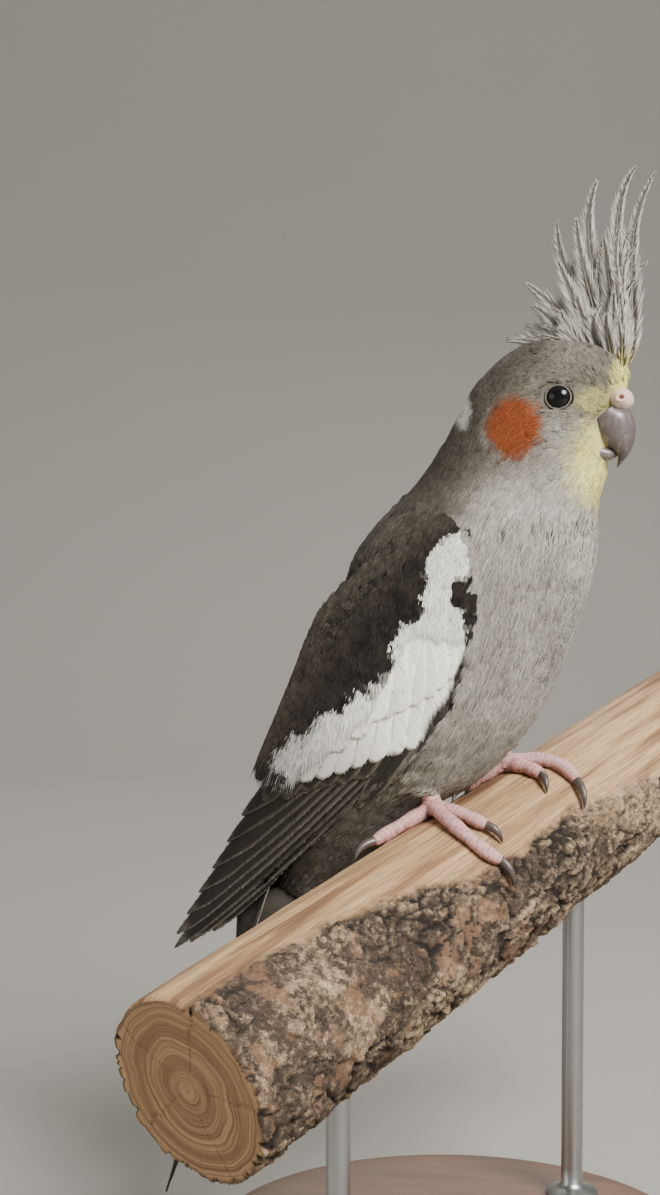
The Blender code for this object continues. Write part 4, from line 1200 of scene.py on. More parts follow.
@dataclass(frozen=True)
class BranchFinish(Finish):
    """Bare grained wood and plated bark, told apart by the mesh."""

    name: str = "branch"
    roughness: float = 0.8
    specular: float = 0.3
    wood: Triple = tint(186, 150, 110)
    wood_dark: Triple = tint(112, 80, 54)
    bark: Triple = tint(66, 53, 42)
    bark_pale: Triple = tint(192, 164, 130)
    # colour of the fissures: dark inner bark with painted shade
    crack_shade: Triple = tint(26, 20, 15)
    inner: Triple = tint(146, 108, 80)
    mottle: float = 330.0
    chip_scale: float = 640.0
    grit_scale: float = 1700.0

    def paint(self, kit: NodeKit) -> dict[str, Socket]:
        """Fibres, bands and pores of the wood, and chips, grit and fissures of the bark, the fissures with
        painted shade.
        """
        along, around, deep, cut = kit.rows("grain")
        bark, crack_shade, tone, flake = kit.rows("bark")
        grain = kit.group(Effects.GRAIN, Along=kit.times(along, 100.0),
                          Round=kit.times(around, 100.0), Deep=kit.times(deep, 100.0))
        spots = kit.group(Effects.MOTTLE, Vector=kit.place(), Stretch=(self.mottle,) * 3)
        wood = kit.layers(self.wood, (kit.rise(grain["Bands"], 0.35, 0.7), self.wood_dark))
        wood = kit.shaded(wood, kit.span(kit.rise(grain["Fibres"], 0.3, 0.7), 0.62, 1.26))
        wood = kit.layers(wood, (kit.times(grain["Pores"], 0.65), self.wood_dark))
        bent = kit.node("VectorMath", kit.noise(kit.place(), 700.0, output="Color"),
                        (0.0022,) * 3, kit.place(), operation="MULTIPLY_ADD").outputs[0]
        chip = kit.specks(bent, self.chip_scale, "Color")
        grit = kit.specks(bent, self.grit_scale, "Color")
        level = kit.plus(tone, kit.swing(chip, 0.55, 0.62), kit.swing(grit, 0.4))
        rind = kit.layers(self.bark, (kit.rise(level, -0.05, 1.05), self.bark_pale))
        rind = kit.shaded(rind, kit.span(kit.rise(spots["Fine"], 0.3, 0.7), 0.5, 1.3))
        worn = kit.times(kit.rise(spots["Broad"], 0.55, 0.75), 0.2)
        # fissures laid on last, their own dark colour with painted shade
        rind = kit.layers(rind, (worn, self.bark_pale), (flake, self.inner), (crack_shade, self.crack_shade))
        colour = kit.layers(wood, (kit.times(bark, kit.minus(1.0, cut)), rind))
        height = kit.plus(kit.times(spots["Fine"], kit.span(bark, 0.15, 0.8)),
                          kit.times(grain["Fibres"], kit.span(bark, 0.7, 0.1)),
                          kit.times(kit.plus(kit.times(chip, 0.5), kit.times(grit, 0.3)), bark))
        return {"Base Color": colour, "Normal": kit.bump(height, 0.0007, 0.9),
                "Roughness": kit.span(grain["Fibres"], 0.62, 0.85)}


@dataclass(frozen=True)
class TurnedWood(Finish):
    """Dark waxed wood of the display base."""

    name: str = "turned_wood"
    roughness: float = 0.42
    coat: float = 0.15
    coat_roughness: float = 0.3
    pale: Triple = tint(116, 80, 54)
    dark: Triple = tint(62, 40, 28)

    def paint(self, kit: NodeKit) -> dict[str, Socket]:
        """Wood with its grain along X."""
        x, y, z = (kit.times(socket, 1000.0) for socket in kit.places())
        grain = kit.group(Effects.GRAIN, Along=x, Round=y, Deep=z)
        colour = kit.layers(self.pale, (grain["Bands"], self.dark))
        colour = kit.shaded(colour, kit.span(grain["Fibres"], 0.7, 1.3))
        return {"Base Color": kit.layers(colour, (kit.times(grain["Pores"], 0.6), self.dark)),
                "Roughness": kit.span(grain["Fibres"], 0.34, 0.52),
                "Normal": kit.bump(grain["Fibres"], 0.0002, 0.5)}


@dataclass(frozen=True)
class Steel(Finish):
    """Satin steel with fine turning marks."""

    name: str = "satin_steel"
    roughness: float = 0.32
    metallic: float = 1.0
    base: Triple = tint(172, 172, 170)

    def paint(self, kit: NodeKit) -> dict[str, Socket]:
        """Rings of turning marks under soft smears."""
        high = kit.places()[2]
        rings = kit.noise(kit.vector(0.0, 0.0, kit.times(high, 5200.0)), 1.0, 3.0)
        return {"Base Color": kit.shaded(self.base, kit.span(rings, 0.85, 1.1)),
                "Roughness": kit.span(kit.noise(kit.place(), 60.0, 3.0), 0.22, 0.46),
                "Normal": kit.bump(rings, 0.00008, 0.4)}


@dataclass(frozen=True)
class Ground(Finish):
    """Plain pale floor and backdrop."""

    name: str = "ground"
    roughness: float = 0.9
    base: Triple = tint(150, 146, 138)

    def paint(self, kit: NodeKit) -> dict[str, Socket]:
        """One tone with a faint unevenness."""
        soft = kit.noise(kit.place(), 4.0, 3.0)
        return {"Base Color": kit.shaded(self.base, kit.span(soft, 0.97, 1.03))}


def emit(piece: Piece, finish: Material, slot: str, *nodes: str) -> None:
    """Dress a finished piece, hang it on the one body and hide the solids it stands for."""
    piece.data.materials.clear()
    piece.data.materials.append(finish)
    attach(piece, "root")
    if nodes:
        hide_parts(*nodes)
    LOG.info("%s: %d faces", piece.name, len(piece.data.polygons))


def emit_pair(surface: Surface, name: str, finish: Material, slot: str, *nodes: str) -> None:
    """Emit a piece of the right side and its mirrored copy."""
    flip = np.array([1.0, -1.0, 1.0])
    twin = Surface(quads=[q[:, ::-1] for q in surface.quads], count=surface.count,
                   tris=[t[:, ::-1] for t in surface.tris], values=surface.values,
                   points=[p * flip for p in surface.points],
                   normals=[n * flip for n in surface.normals], patches=surface.patches)
    for form, side in ((surface, "right"), (twin, "left")):
        emit(form.build(name % side), finish, slot, *(node % side for node in nodes))


@dataclass
class Skin:
    """One skin under the plumage of head, neck, trunk and thighs."""

    head_depth: float = 0.9
    body_depth: float = 1.9
    voxel: float = 1.2
    rings: int = 121
    sides: int = 72
    thigh_rings: int = 24
    thigh_sides: int = 32
    thigh_splay: float = 0.6
    flank_depth: float = 0.9
    thigh_steps: tuple[Triple, ...] = (
        (0.0, 0.0, 2.6), (0.0, 1.4, 3.6), (1.8, 4.6, 5.6), (5.5, 10.5, 7.2),
        (10.0, 19.0, 7.8), (14.0, 28.0, 6.4))

    def body(self, surface: Surface) -> None:
        """Add the trunk and head."""
        stations = np.linspace(0.0, len(BODY.sections) - 1.0, self.rings)
        turns = turns_of(self.sides)
        depth = self.head_depth + (self.body_depth - self.head_depth) * step(stations, 6.0, 10.0)
        rings = BODY.rings(stations, turns, depth)
        crown = np.array([BODY.crown[0], 0.0, BODY.crown[1] - self.head_depth])
        ends = np.stack([crown, rings[-1].mean(axis=0)])
        points = np.concatenate([rings.reshape(-1, 3), ends])
        surface.add(points, *outward(points, *tube_faces(len(stations), len(turns))))

    def thighs(self, surface: Surface) -> None:
        """Add both thighs."""
        for foot in FEET:
            start = foot.shank_top() + np.array([0.0, 0.0, 0.3])
            path = np.array([start + np.array([-back, 0.0, rise])
                             for back, rise, _ in self.thigh_steps])
            path[2:, 1] -= foot.side.value * self.thigh_splay * np.arange(1, len(path) - 1)
            radii = np.array(self.thigh_steps)[:, 2]
            rows = through(np.column_stack([path, radii]), np.linspace(0, len(path) - 1, self.thigh_rings))
            add_tube(surface, rows[:, :3], rows[:, 3], np.array([1.0, 0.0, 0.0]), self.thigh_sides,
                     tip=rows[-1, :3] + np.array([-1.5, 0.0, 3.0]))

    def settle(self, points: Array) -> Array:
        """Press in the eye sockets, and the flanks under the folded wings."""
        points = points.copy()
        flat = points[:, [0, 2]] - np.array(EYE)[[0, 2]]
        far = np.linalg.norm(flat, axis=1)
        limit = 12.6 + 2.3 * step(far, 2.9, 4.2) + 6.0 * step(far, 5.4, 9.0)
        high = points[:, 2] > 100.0
        side = np.abs(points[:, 1])
        side = np.where(high, np.minimum(side, limit), side)
        inside = WING.cover(points, 0.0)
        place = WING.locate(points)
        inner = -WING.inner(place)[..., 1] - self.flank_depth
        under = np.minimum(side, inner)
        share = step(inside, -2.0, 0.4) * (points[:, 2] < 92.0)
        side = side + (under - side) * share
        points[:, 1] = np.sign(points[:, 1]) * side
        return points

    def build(self) -> Piece:
        """Build the skin with its markings."""
        rough = Surface()
        self.body(rough)
        self.thighs(rough)
        draft = rough.build("draft")
        change = draft.modifiers.new("one surface", "REMESH")
        change.mode = "VOXEL"
        change.voxel_size = self.voxel * MM
        change.use_smooth_shade = True
        soften = draft.modifiers.new("soften", "SMOOTH")
        soften.iterations = 6
        soften.factor = 0.5
        view = bpy.context.evaluated_depsgraph_get()
        mesh = bpy.data.meshes.new_from_object(draft.evaluated_get(view))
        bpy.data.objects.remove(draft, do_unlink=True)
        mesh.name = "skin"
        points = self.settle(from_scene(read_rows(mesh.vertices, "co")))
        settled = (points + np.array([0.0, 0.0, BIRD_HEIGHT])) * MM
        mesh.vertices.foreach_set("co", settled.ravel())
        mesh.update()
        write_rows(mesh, "marks", MARKINGS.marks(points))
        write_rows(mesh, "strand", strand_values(points))
        return placed("skin", mesh)


@dataclass
class Zone:
    """Stretch of the coat whose feathers are alike."""

    name: str
    density: float
    barbs: int
    length: float
    width: float
    barb: float
    depth: float
    stations: Pair
    backs: Pair = (-2.0, 2.0)
    fade: float = 0.5

    def weight(self, station: Array, back: Array) -> Array:
        """Share of the zone's density at places on the body."""
        low, high = self.stations
        along = step(station, low - self.fade, low + self.fade)
        along *= step(station, high + self.fade, high - self.fade)
        round_ = step(back, self.backs[0] - 0.1, self.backs[0] + 0.1)
        return along * round_ * step(back, self.backs[1] + 0.1, self.backs[1] - 0.1)


@dataclass
class Coat:
    """Feathers of head, neck, trunk and thighs as fans of fine barbs."""

    skin: Piece
    zones: tuple[Zone, ...] = (
        Zone("face", 2.1, 8, 3.6, 1.5, 0.20, 0.7, (-1.0, 3.4)),
        Zone("head", 1.6, 9, 5.6, 2.2, 0.22, 0.9, (3.4, 6.6)),
        Zone("neck", 0.95, 12, 7.6, 2.8, 0.27, 1.3, (6.6, 9.4)),
        Zone("breast", 0.44, 17, 11.5, 4.0, 0.34, 1.9, (9.4, 14.6), (-2.0, 0.1)),
        Zone("mantle", 0.44, 17, 10.5, 4.2, 0.34, 1.8, (9.4, 15.6), (0.1, 2.0)),
        Zone("belly", 0.40, 17, 11.5, 4.0, 0.35, 2.0, (14.6, 18.0), (-2.0, 0.6)),
        Zone("vent", 0.34, 18, 12.0, 4.6, 0.36, 2.0, (18.0, 22.0)),
        Zone("rump", 0.34, 16, 10.5, 4.6, 0.36, 1.8, (15.6, 22.0), (0.5, 2.0)),
    )

    eye_clear: float = 4.3
    cere_clear: Triple = (4.4, 7.0, 4.4)
    wing_clear: float = 1.8

    def bare(self, points: Array) -> Array:
        """True where no feather grows: eyes, bill, cere and the flanks under the wings."""
        eye = points[:, [0, 2]] - np.array(EYE)[[0, 2]]
        blank = (np.linalg.norm(eye, axis=1) < self.eye_clear) & (np.abs(points[:, 1]) > 8.0)
        cere = (points - np.array(CERE)) / np.array(self.cere_clear)
        blank |= np.linalg.norm(cere, axis=1) < 1.0
        rear = 42.6 + 0.9 * (points[:, 2] - 112.5)
        bill = (points[:, 0] > rear) & (points[:, 2] > 110.0) & (points[:, 2] < 119.0)
        chin = 42.6 + 0.35 * (112.5 - points[:, 2])
        bill |= (points[:, 0] > chin) & (points[:, 2] > 103.0) & (points[:, 2] <= 112.0)
        return blank | bill | (WING.cover(points, self.wing_clear) > 0.0)

    def over_wing(self, points: Array, lift: Array) -> Array:
        """Points carried outside the folded wing where they would pass through it."""
        inside = WING.cover(points, -0.6)
        place = WING.locate(points)
        reach = -WING.inner(place)[..., 1] + 2.6 + lift
        side = np.abs(points[:, 1])
        share = step(inside, 0.0, 1.6)
        wanted = side + (np.maximum(side, reach) - side) * share
        low = points[:, 2] < 96.0
        side = np.where(low, wanted, side)
        out = points.copy()
        out[:, 1] = np.sign(points[:, 1]) * side
        return out

    def build(self, finish: Material) -> None:
        """Build every zone and cut the coat into pieces."""
        mesh = self.skin.data
        mesh.calc_loop_triangles()
        corners = read_rows(mesh.loop_triangles, "vertices", np.int32)
        points = from_scene(read_rows(mesh.vertices, "co"))
        normals = read_rows(mesh.vertices, "normal")
        tree = BVHTree.FromPolygons([tuple(p) for p in points.tolist()], corners.tolist())
        centres = points[corners].mean(axis=1)
        edges = points[corners[:, 1:]] - points[corners[:, :1]]
        areas = np.linalg.norm(np.cross(edges[:, 0], edges[:, 1]), axis=1) / 2
        station, back, _ = BODY.place(centres)
        free = ~self.bare(centres)
        for index, zone in enumerate(self.zones):
            draw = np.random.default_rng(SEED + index)
            weight = areas * zone.weight(station, back) * free
            thin = 1.0
            count = int(weight.sum() * zone.density * thin)
            chosen = np.searchsorted(np.cumsum(weight) / weight.sum(), draw.random(count))
            chosen = np.minimum(chosen, len(corners) - 1)
            u, v = draw.random((2, count))
            flip = u + v > 1
            u[flip], v[flip] = 1 - u[flip], 1 - v[flip]
            shares = packed(1 - u - v, u, v)[..., None]
            sites = (points[corners[chosen]] * shares).sum(axis=1)
            outs = unit((normals[corners[chosen]] * shares).sum(axis=1))
            keep = ~self.bare(sites)
            surface = Surface()
            self.grow(surface, zone, sites[keep], outs[keep], tree, draw)
            self.split(surface, zone, finish)

    def grow(self, surface: Surface, zone: Zone, sites: Array, outs: Array, tree: BVHTree,
             draw: Draw) -> None:
        """Add the barbs of one zone's feathers.

        Args:
            surface: the piece they join.
            zone: sizes of its feathers.
            sites: roots of the feathers on the skin.
            outs: outward directions there.
            tree: the skin, for lying close along it.
            draw: source of its chance values.
        """
        count = len(sites)
        lie = BODY.lie(sites, outs)
        side = np.cross(outs, lie)
        swing = draw.normal(0.0, 0.06, count)[:, None]
        lie, side = unit(lie + side * swing), unit(side - lie * swing)
        fan = np.linspace(-1.0, 1.0, zone.barbs)
        fan = fan[None] + draw.normal(0.0, 0.5 / zone.barbs, (count, zone.barbs))
        size = draw.uniform(0.82, 1.15, (count, 1))
        length = zone.length * size * (1.0 - 0.30 * fan**2)
        length *= draw.uniform(0.86, 1.05, fan.shape)
        start = zone.length * 0.16 * np.abs(fan)
        spread = zone.width * size * fan / 2

        def at(along: Array, aside: Array) -> Array:
            """Point of each barb by its reach along and beside the feather."""
            return (sites[:, None] + lie[:, None] * along[..., None]
                    + side[:, None] * aside[..., None]).reshape(-1, 3)

        roots = at(start, spread * 0.18)
        mids = at(start + (length - start) * 0.5, spread * 0.72)
        tips = at(length, spread)
        wide = np.repeat(outs, zone.barbs, axis=0)
        lift = zone.depth * draw.uniform(0.94, 1.05, (count, 1)) * np.ones(fan.shape)
        lift = (lift * draw.uniform(0.8, 1.16, fan.shape)).ravel()
        mids = self.close(tree, mids, lift)
        tips = self.close(tree, tips, lift * 0.84)
        mids = self.over_wing(mids, lift * 0.25)
        tips = self.over_wing(tips, lift * 0.12)
        roots = roots + wide * (zone.depth * 0.3 - 0.3)
        marks = MARKINGS.marks(sites + lie * zone.length * 0.6)
        marks = np.repeat(marks, zone.barbs, axis=0)
        tones = packed(np.repeat(draw.random(count), zone.barbs), draw.random(count * zone.barbs))
        spots = np.repeat(body_unwrap(sites), zone.barbs, axis=0)
        width = np.full(len(roots), zone.barb) * draw.uniform(0.8, 1.2, len(roots))
        BARBS.add(surface, roots, mids, tips, wide, width, spots, marks, tones,
                  bars=zone.stations[1] > 15.0, soft=True)

    def close(self, tree: BVHTree, points: Array, lift: Array) -> Array:
        """Points moved to a height over the nearest place of the skin."""
        found = np.array([(*spot, *normal) for spot, normal, _, _
                          in map(tree.find_nearest, points.tolist())]).reshape(-1, 6)
        return found[:, :3] + found[:, 3:] * lift[:, None]

    def split(self, surface: Surface, zone: Zone, finish: Material) -> None:
        """Turn what was grown into pieces that stay under the triangle limit."""
        points, patches, normals, marks, strand = (np.concatenate(rows) for rows in (
            surface.points, surface.patches, surface.normals, *surface.values.values()))
        blades = len(points) // BARBS.size
        parts = max(1, math.ceil(blades * BARBS.triangles / COAT_LIMIT))
        for part in range(parts):
            low = blades * part // parts
            high = blades * (part + 1) // parts
            rows = slice(low * BARBS.size, high * BARBS.size)
            cut = Surface()
            cut.add(points[rows], None, BARBS.faces(high - low), patch=patches[rows],
                    marks=marks[rows], strand=strand[rows])
            cut.normals.append(normals[rows])
            emit(cut.build("coat_%s_%d" % (zone.name, part + 1)), finish, "body_feather")


def add_sheet(surface: Surface, upper: Array, under: Array, patch: Array, **values: Array) -> None:
    """Add a thin closed sheet between two grids of like points.

    Args:
        surface: the piece it joins.
        upper: outer face, along by across.
        under: inner face, along by across.
        patch: place of each of the outer face's points on the unwrap.
        values: four numbers for each of the outer face's points under each name.
    """
    rows, columns = upper.shape[:2]
    count = rows * columns
    grid = np.arange(count).reshape(rows, columns)
    top = np.stack([grid[:-1, :-1], grid[1:, :-1], grid[1:, 1:], grid[:-1, 1:]], -1).reshape(-1, 4)
    low = top[:, ::-1] + count
    rim = np.concatenate([grid[0, :-1], grid[:-1, -1], grid[-1, :0:-1], grid[:0:-1, 0]])
    after = np.roll(rim, -1)
    edge = np.stack([rim, after, after + count, rim + count], -1)
    quads = np.concatenate([top, low, edge])
    points = np.concatenate([upper.reshape(-1, 3), under.reshape(-1, 3)])
    quads, _ = outward(points, quads, np.zeros((0, 3), np.int64))
    twice = {name: np.tile(value.reshape(-1, 4), (2, 1)) for name, value in values.items()}
    surface.add(points, quads, patch=np.tile(patch.reshape(-1, 2), (2, 1)), **twice)


def add_loose(surface: Surface, roots: Array, mids: Array, tips: Array, outs: Array,
              widths: Array, spots: Array, rows: Array, web: Array) -> None:
    """Add loose barbs that are coloured like the vane they leave.

    Args:
        surface: the piece they join.
        roots: first point of each.
        mids: point half way along each.
        tips: last point of each.
        outs: outward direction at each.
        widths: greatest width of each.
        spots: place of each on the unwrap.
        rows: the vane's numbers at each.
        web: the web's numbers at each.
    """
    blades = Surface()
    count = len(roots)
    BARBS.add(blades, roots, mids, tips, outs, widths, spots, np.zeros((count, 4)),
              np.zeros((count, 2)))
    surface.add(blades.points[0], None, blades.tris[0], patch=blades.patches[0],
                vane=np.repeat(rows, BARBS.size, axis=0), web=np.repeat(web, BARBS.size, axis=0))


@dataclass
class Tier:
    """Row of wing feathers alike in kind, from its first to its last."""

    name: str
    count: int
    roots: Pairs
    tips: Pairs
    half: Pair
    height: Pair
    tilt: float
    white: Pair = (0.0, 0.0)
    shade: Pair = (0.15, 0.15)
    edge: Pair = (0.2, 0.2)
    pointed: bool = False
    ragged: float = 0.05

    def spread(self, rows: Pairs) -> Array:
        """Places shared out evenly along a line of given places."""
        return through(rows, np.linspace(0, len(rows) - 1, self.count))


@dataclass
class Vane:
    """One wing feather."""

    root: Array
    tip: Array
    half: float
    height: float
    tilt: float
    shape: Pairs
    thick: float = 0.34
    seed: int = 0
    ragged: float = 0.05

    def place(self, share: Array, across: Array) -> tuple[Array, Array]:
        """Place on the wing and half width at shares along and across the feather."""
        run = self.tip - self.root
        square = unit(np.array([-run[1], run[0]]))
        uneven = 1.0 + self.ragged * noise(packed(share * 9.0, self.seed), 5) * step(share, 0.3, 0.8)
        half = self.half * curve_rows(share, np.array(self.shape))[..., 0] * uneven
        spot = self.root + run * share[..., None] + square * (half * across)[..., None]
        spot[..., 1] = WING.held(spot)
        return spot, half

    def at(self, share: Array, across: Array, level: Array | float) -> Array:
        """Points of the feather at a height over its own sheet."""
        spot, half = self.place(share, across)
        rise = np.maximum(self.height - self.tilt * half * across, 0.2)
        crown = 0.22 * (1 - across**2)
        return WING.point(spot, rise + crown + level)

    @property
    def length(self) -> float:
        """Length from root to tip."""
        return float(np.linalg.norm(self.tip - self.root))


@dataclass
class Wing:
    """Right wing and its mirrored copy, feather by feather in tiers."""

    along: int = 24
    across: int = 9
    grey: Pair = (58.0, 98.0)
    blunt: Pairs = (
        (0.0, 0.8), (0.35, 1.0), (0.7, 1.0), (0.86, 0.86), (0.94, 0.62), (0.985, 0.32), (1.0, 0.08))
    narrow: Pairs = (
        (0.0, 0.8), (0.3, 1.0), (0.62, 0.95), (0.82, 0.68), (0.93, 0.4), (1.0, 0.06))
    tiers: tuple[Tier, ...] = (
        Tier("primary", 9, ((50.0, -28.6), (50.0, -13.6)),
             ((152.0, -9.5), (160.0, -5.4), (165.0, -2.4), (161.0, -0.9), (154.0, -0.1),
              (146.0, 0.8), (137.0, 1.7), (127.0, 2.6), (117.0, 3.5)),
             (4.2, 4.4), (0.5, 0.95), 0.12, edge=(0.75, 0.5), shade=(0.1, 0.15), pointed=True),
        Tier("secondary", 9, ((34.0, -22.0), (44.0, 8.0)),
             ((72.0, -28.0), (80.0, -21.0), (92.0, -11.0), (106.0, -1.0)),
             (5.4, 5.8), (1.15, 1.35), 0.07, edge=(0.6, 0.4)),
        Tier("primary_covert", 6, ((16.0, -21.0), (34.0, -26.0)),
             ((50.0, -32.0), (78.0, -29.5), (88.0, -26.0)),
             (2.6, 3.0), (1.1, 1.45), 0.1, edge=(0.5, 0.6)),
        Tier("greater_covert", 12, ((20.0, -14.0), (72.0, 3.0)),
             ((48.0, -28.5), (57.0, -29.5), (64.0, -28.0), (71.5, -23.0), (79.5, -17.0),
              (87.0, -11.5), (94.0, -5.5), (101.0, 1.0)),
             (4.2, 4.4), (1.6, 1.95), 0.08, white=(1.0, 1.0), edge=(0.1, 0.5), ragged=0.12),
        Tier("front_covert", 10, ((1.0, -3.0), (34.0, -5.0)),
             ((20.0, -19.0), (34.0, -26.0), (47.0, -24.0), (60.0, -17.0)),
             (3.9, 4.2), (1.95, 2.2), 0.08, white=(1.0, 1.0), edge=(0.0, 0.0), ragged=0.15),
        Tier("upper_white", 9, ((6.0, -2.0), (64.0, 2.0)),
             ((26.0, -11.0), (44.0, -15.0), (62.0, -15.5), (78.0, -10.0), (90.0, -3.0)),
             (4.0, 4.6), (2.2, 2.4), 0.07, white=(1.0, 1.0), edge=(0.0, 0.1), ragged=0.15),
        Tier("median_covert", 11, ((2.0, 0.0), (66.0, 6.0)),
             ((14.0, -7.5), (26.0, -9.0), (46.0, -10.0), (66.0, -8.0), (90.0, -0.5)),
             (4.4, 5.2), (2.45, 2.6), 0.06, white=(1.0, 1.0), edge=(0.0, 0.1), ragged=0.2),
        Tier("tertial", 5, ((44.0, 5.0), (26.0, 9.0)), ((104.0, 5.0), (60.0, 16.0)),
             (5.4, 5.6), (2.5, 2.75), 0.05, edge=(0.15, 0.1), ragged=0.1),
    )

    def white(self, spots: Array) -> Array:
        """Strength of the white at places, greyer toward the wing's tip."""
        return WING.white(spots) * (1.0 - 0.5 * step(spots[..., 0], *self.grey))

    def vanes(self, tier: Tier) -> list[tuple[Vane, Array]]:
        """Feathers of a tier, each with its white, edge and shade."""
        roots, tips = tier.spread(tier.roots), tier.spread(tier.tips)
        made = []
        for k in range(tier.count):
            share = k / max(tier.count - 1, 1)
            mix = [a + (b - a) * share for a, b in
                   (tier.half, tier.height, tier.white, tier.edge, tier.shade)]
            shape = self.narrow if tier.pointed else self.blunt
            vane = Vane(roots[k], tips[k], mix[0], mix[1], tier.tilt, shape,
                        seed=k * 7 + len(tier.name), ragged=tier.ragged)
            made.append((vane, np.array(mix[2:])))
        return made

    def add_vane(self, surface: Surface, vane: Vane, looks: Array, strip: Pair, draw: Draw) -> None:
        """Add one feather and the loose barbs of its edges.

        Args:
            surface: the wing it joins.
            vane: the feather's form.
            looks: its white, edge and shade.
            strip: corner of its own strip of the unwrap.
            draw: source of its chance values.
        """
        share = np.linspace(0, 1, self.along) ** 0.85
        across = np.linspace(-1, 1, self.across)
        t, c = np.meshgrid(share, across, indexing="ij")
        upper = vane.at(t, c, vane.thick)
        under = vane.at(t, c, 0.0)
        spots, half = vane.place(t, c)
        tone = draw.random()
        rows = packed(t, c, tone, vane.length / 100)
        white = looks[0] * self.white(spots)
        web = packed(half / 10, white, looks[1] * (1 - white), looks[2])
        patch = packed(strip[0] + 0.1 * t, strip[1] + 0.006 * (c + 1))
        add_sheet(surface, upper, under, patch, vane=rows, web=web)
        self.add_fringe(surface, vane, looks, strip, tone, draw)

    def add_fringe(self, surface: Surface, vane: Vane, looks: Array, strip: Pair,
                   tone: float, draw: Draw) -> None:
        """Add the loose barbs of one feather's edges and tip."""
        count = max(24, int(vane.length * 1.1))
        share = np.sort(1 - 0.72 * draw.random(count) ** 1.6)
        sign = np.where(draw.random(count) < 0.5, -1.0, 1.0)
        reach = draw.uniform(0.8, 2.2, count) / max(vane.half, 1.0)
        ahead = draw.uniform(1.2, 2.6, count) / vane.length
        inner = np.clip(share - ahead * 0.8, 0, 0.985)
        roots = vane.at(inner, sign * 0.8, vane.thick * 0.6)
        mids = vane.at(np.clip(share, 0, 0.995), sign * (0.9 + reach * 0.25), vane.thick)
        tips = vane.at(np.clip(share, 0, 0.99), sign * (0.95 + reach * 0.5), vane.thick * 0.8)
        run = unit(vane.at(np.ones(1), np.zeros(1), 0.0) - vane.at(np.array([0.9]), np.zeros(1), 0.0))
        tips = tips + run * draw.uniform(0.2, 1.4, count)[:, None]
        outs = np.tile([0.0, -1.0, 0.0], (count, 1))
        spots = packed(strip[0] + 0.1 * share, strip[1] + 0.006 * (1 + sign * 0.9))
        rows = packed(share, sign * 0.97, tone, vane.length / 100)
        web = np.tile([vane.half / 10, *looks], (count, 1))
        web[:, 1] *= self.white(vane.place(share, sign)[0])
        add_loose(surface, roots, mids, tips, outs, draw.uniform(0.2, 0.34, count), spots,
                  rows, web)

    def add_core(self, surface: Surface) -> None:
        """Add the dark slab under the small coverts."""
        places = np.linspace(-3.0, 100.0, 40)
        low, top = WING.edges(places)
        shares = np.linspace(0.04, 0.96, 15)
        across = low[:, None] + (top - low)[:, None] * shares
        spots = packed(places[:, None], across)
        dome = np.sin(shares * math.pi) * 0.5 + 0.15
        upper = WING.point(spots, np.broadcast_to(dome, across.shape))
        under = WING.point(spots, np.zeros(across.shape))
        still = np.tile([0.0, 0.3, 0.5, 0.0], (*across.shape, 1))
        patch = packed(0.86 + 0.1 * (spots[..., 0] + 3) / 103, 0.9 + 0.05 * shares)
        web = np.tile([0.5, 0.0, 0.0, 0.2], (*across.shape, 1))
        add_sheet(surface, upper, under, patch, vane=still, web=web)

    def build(self, finish: Material) -> None:
        """Build both wings."""
        draw = np.random.default_rng(SEED + 50)
        surface = Surface()
        self.add_core(surface)
        index = 0
        for tier in self.tiers:
            for vane, looks in self.vanes(tier):
                strip = (0.01 + 0.12 * (index % 8), 0.01 + 0.016 * (index // 8))
                self.add_vane(surface, vane, looks, strip, draw)
                index += 1
        emit_pair(surface, "wing_%s_feathers", finish, "wing_feather", "wing_%s")


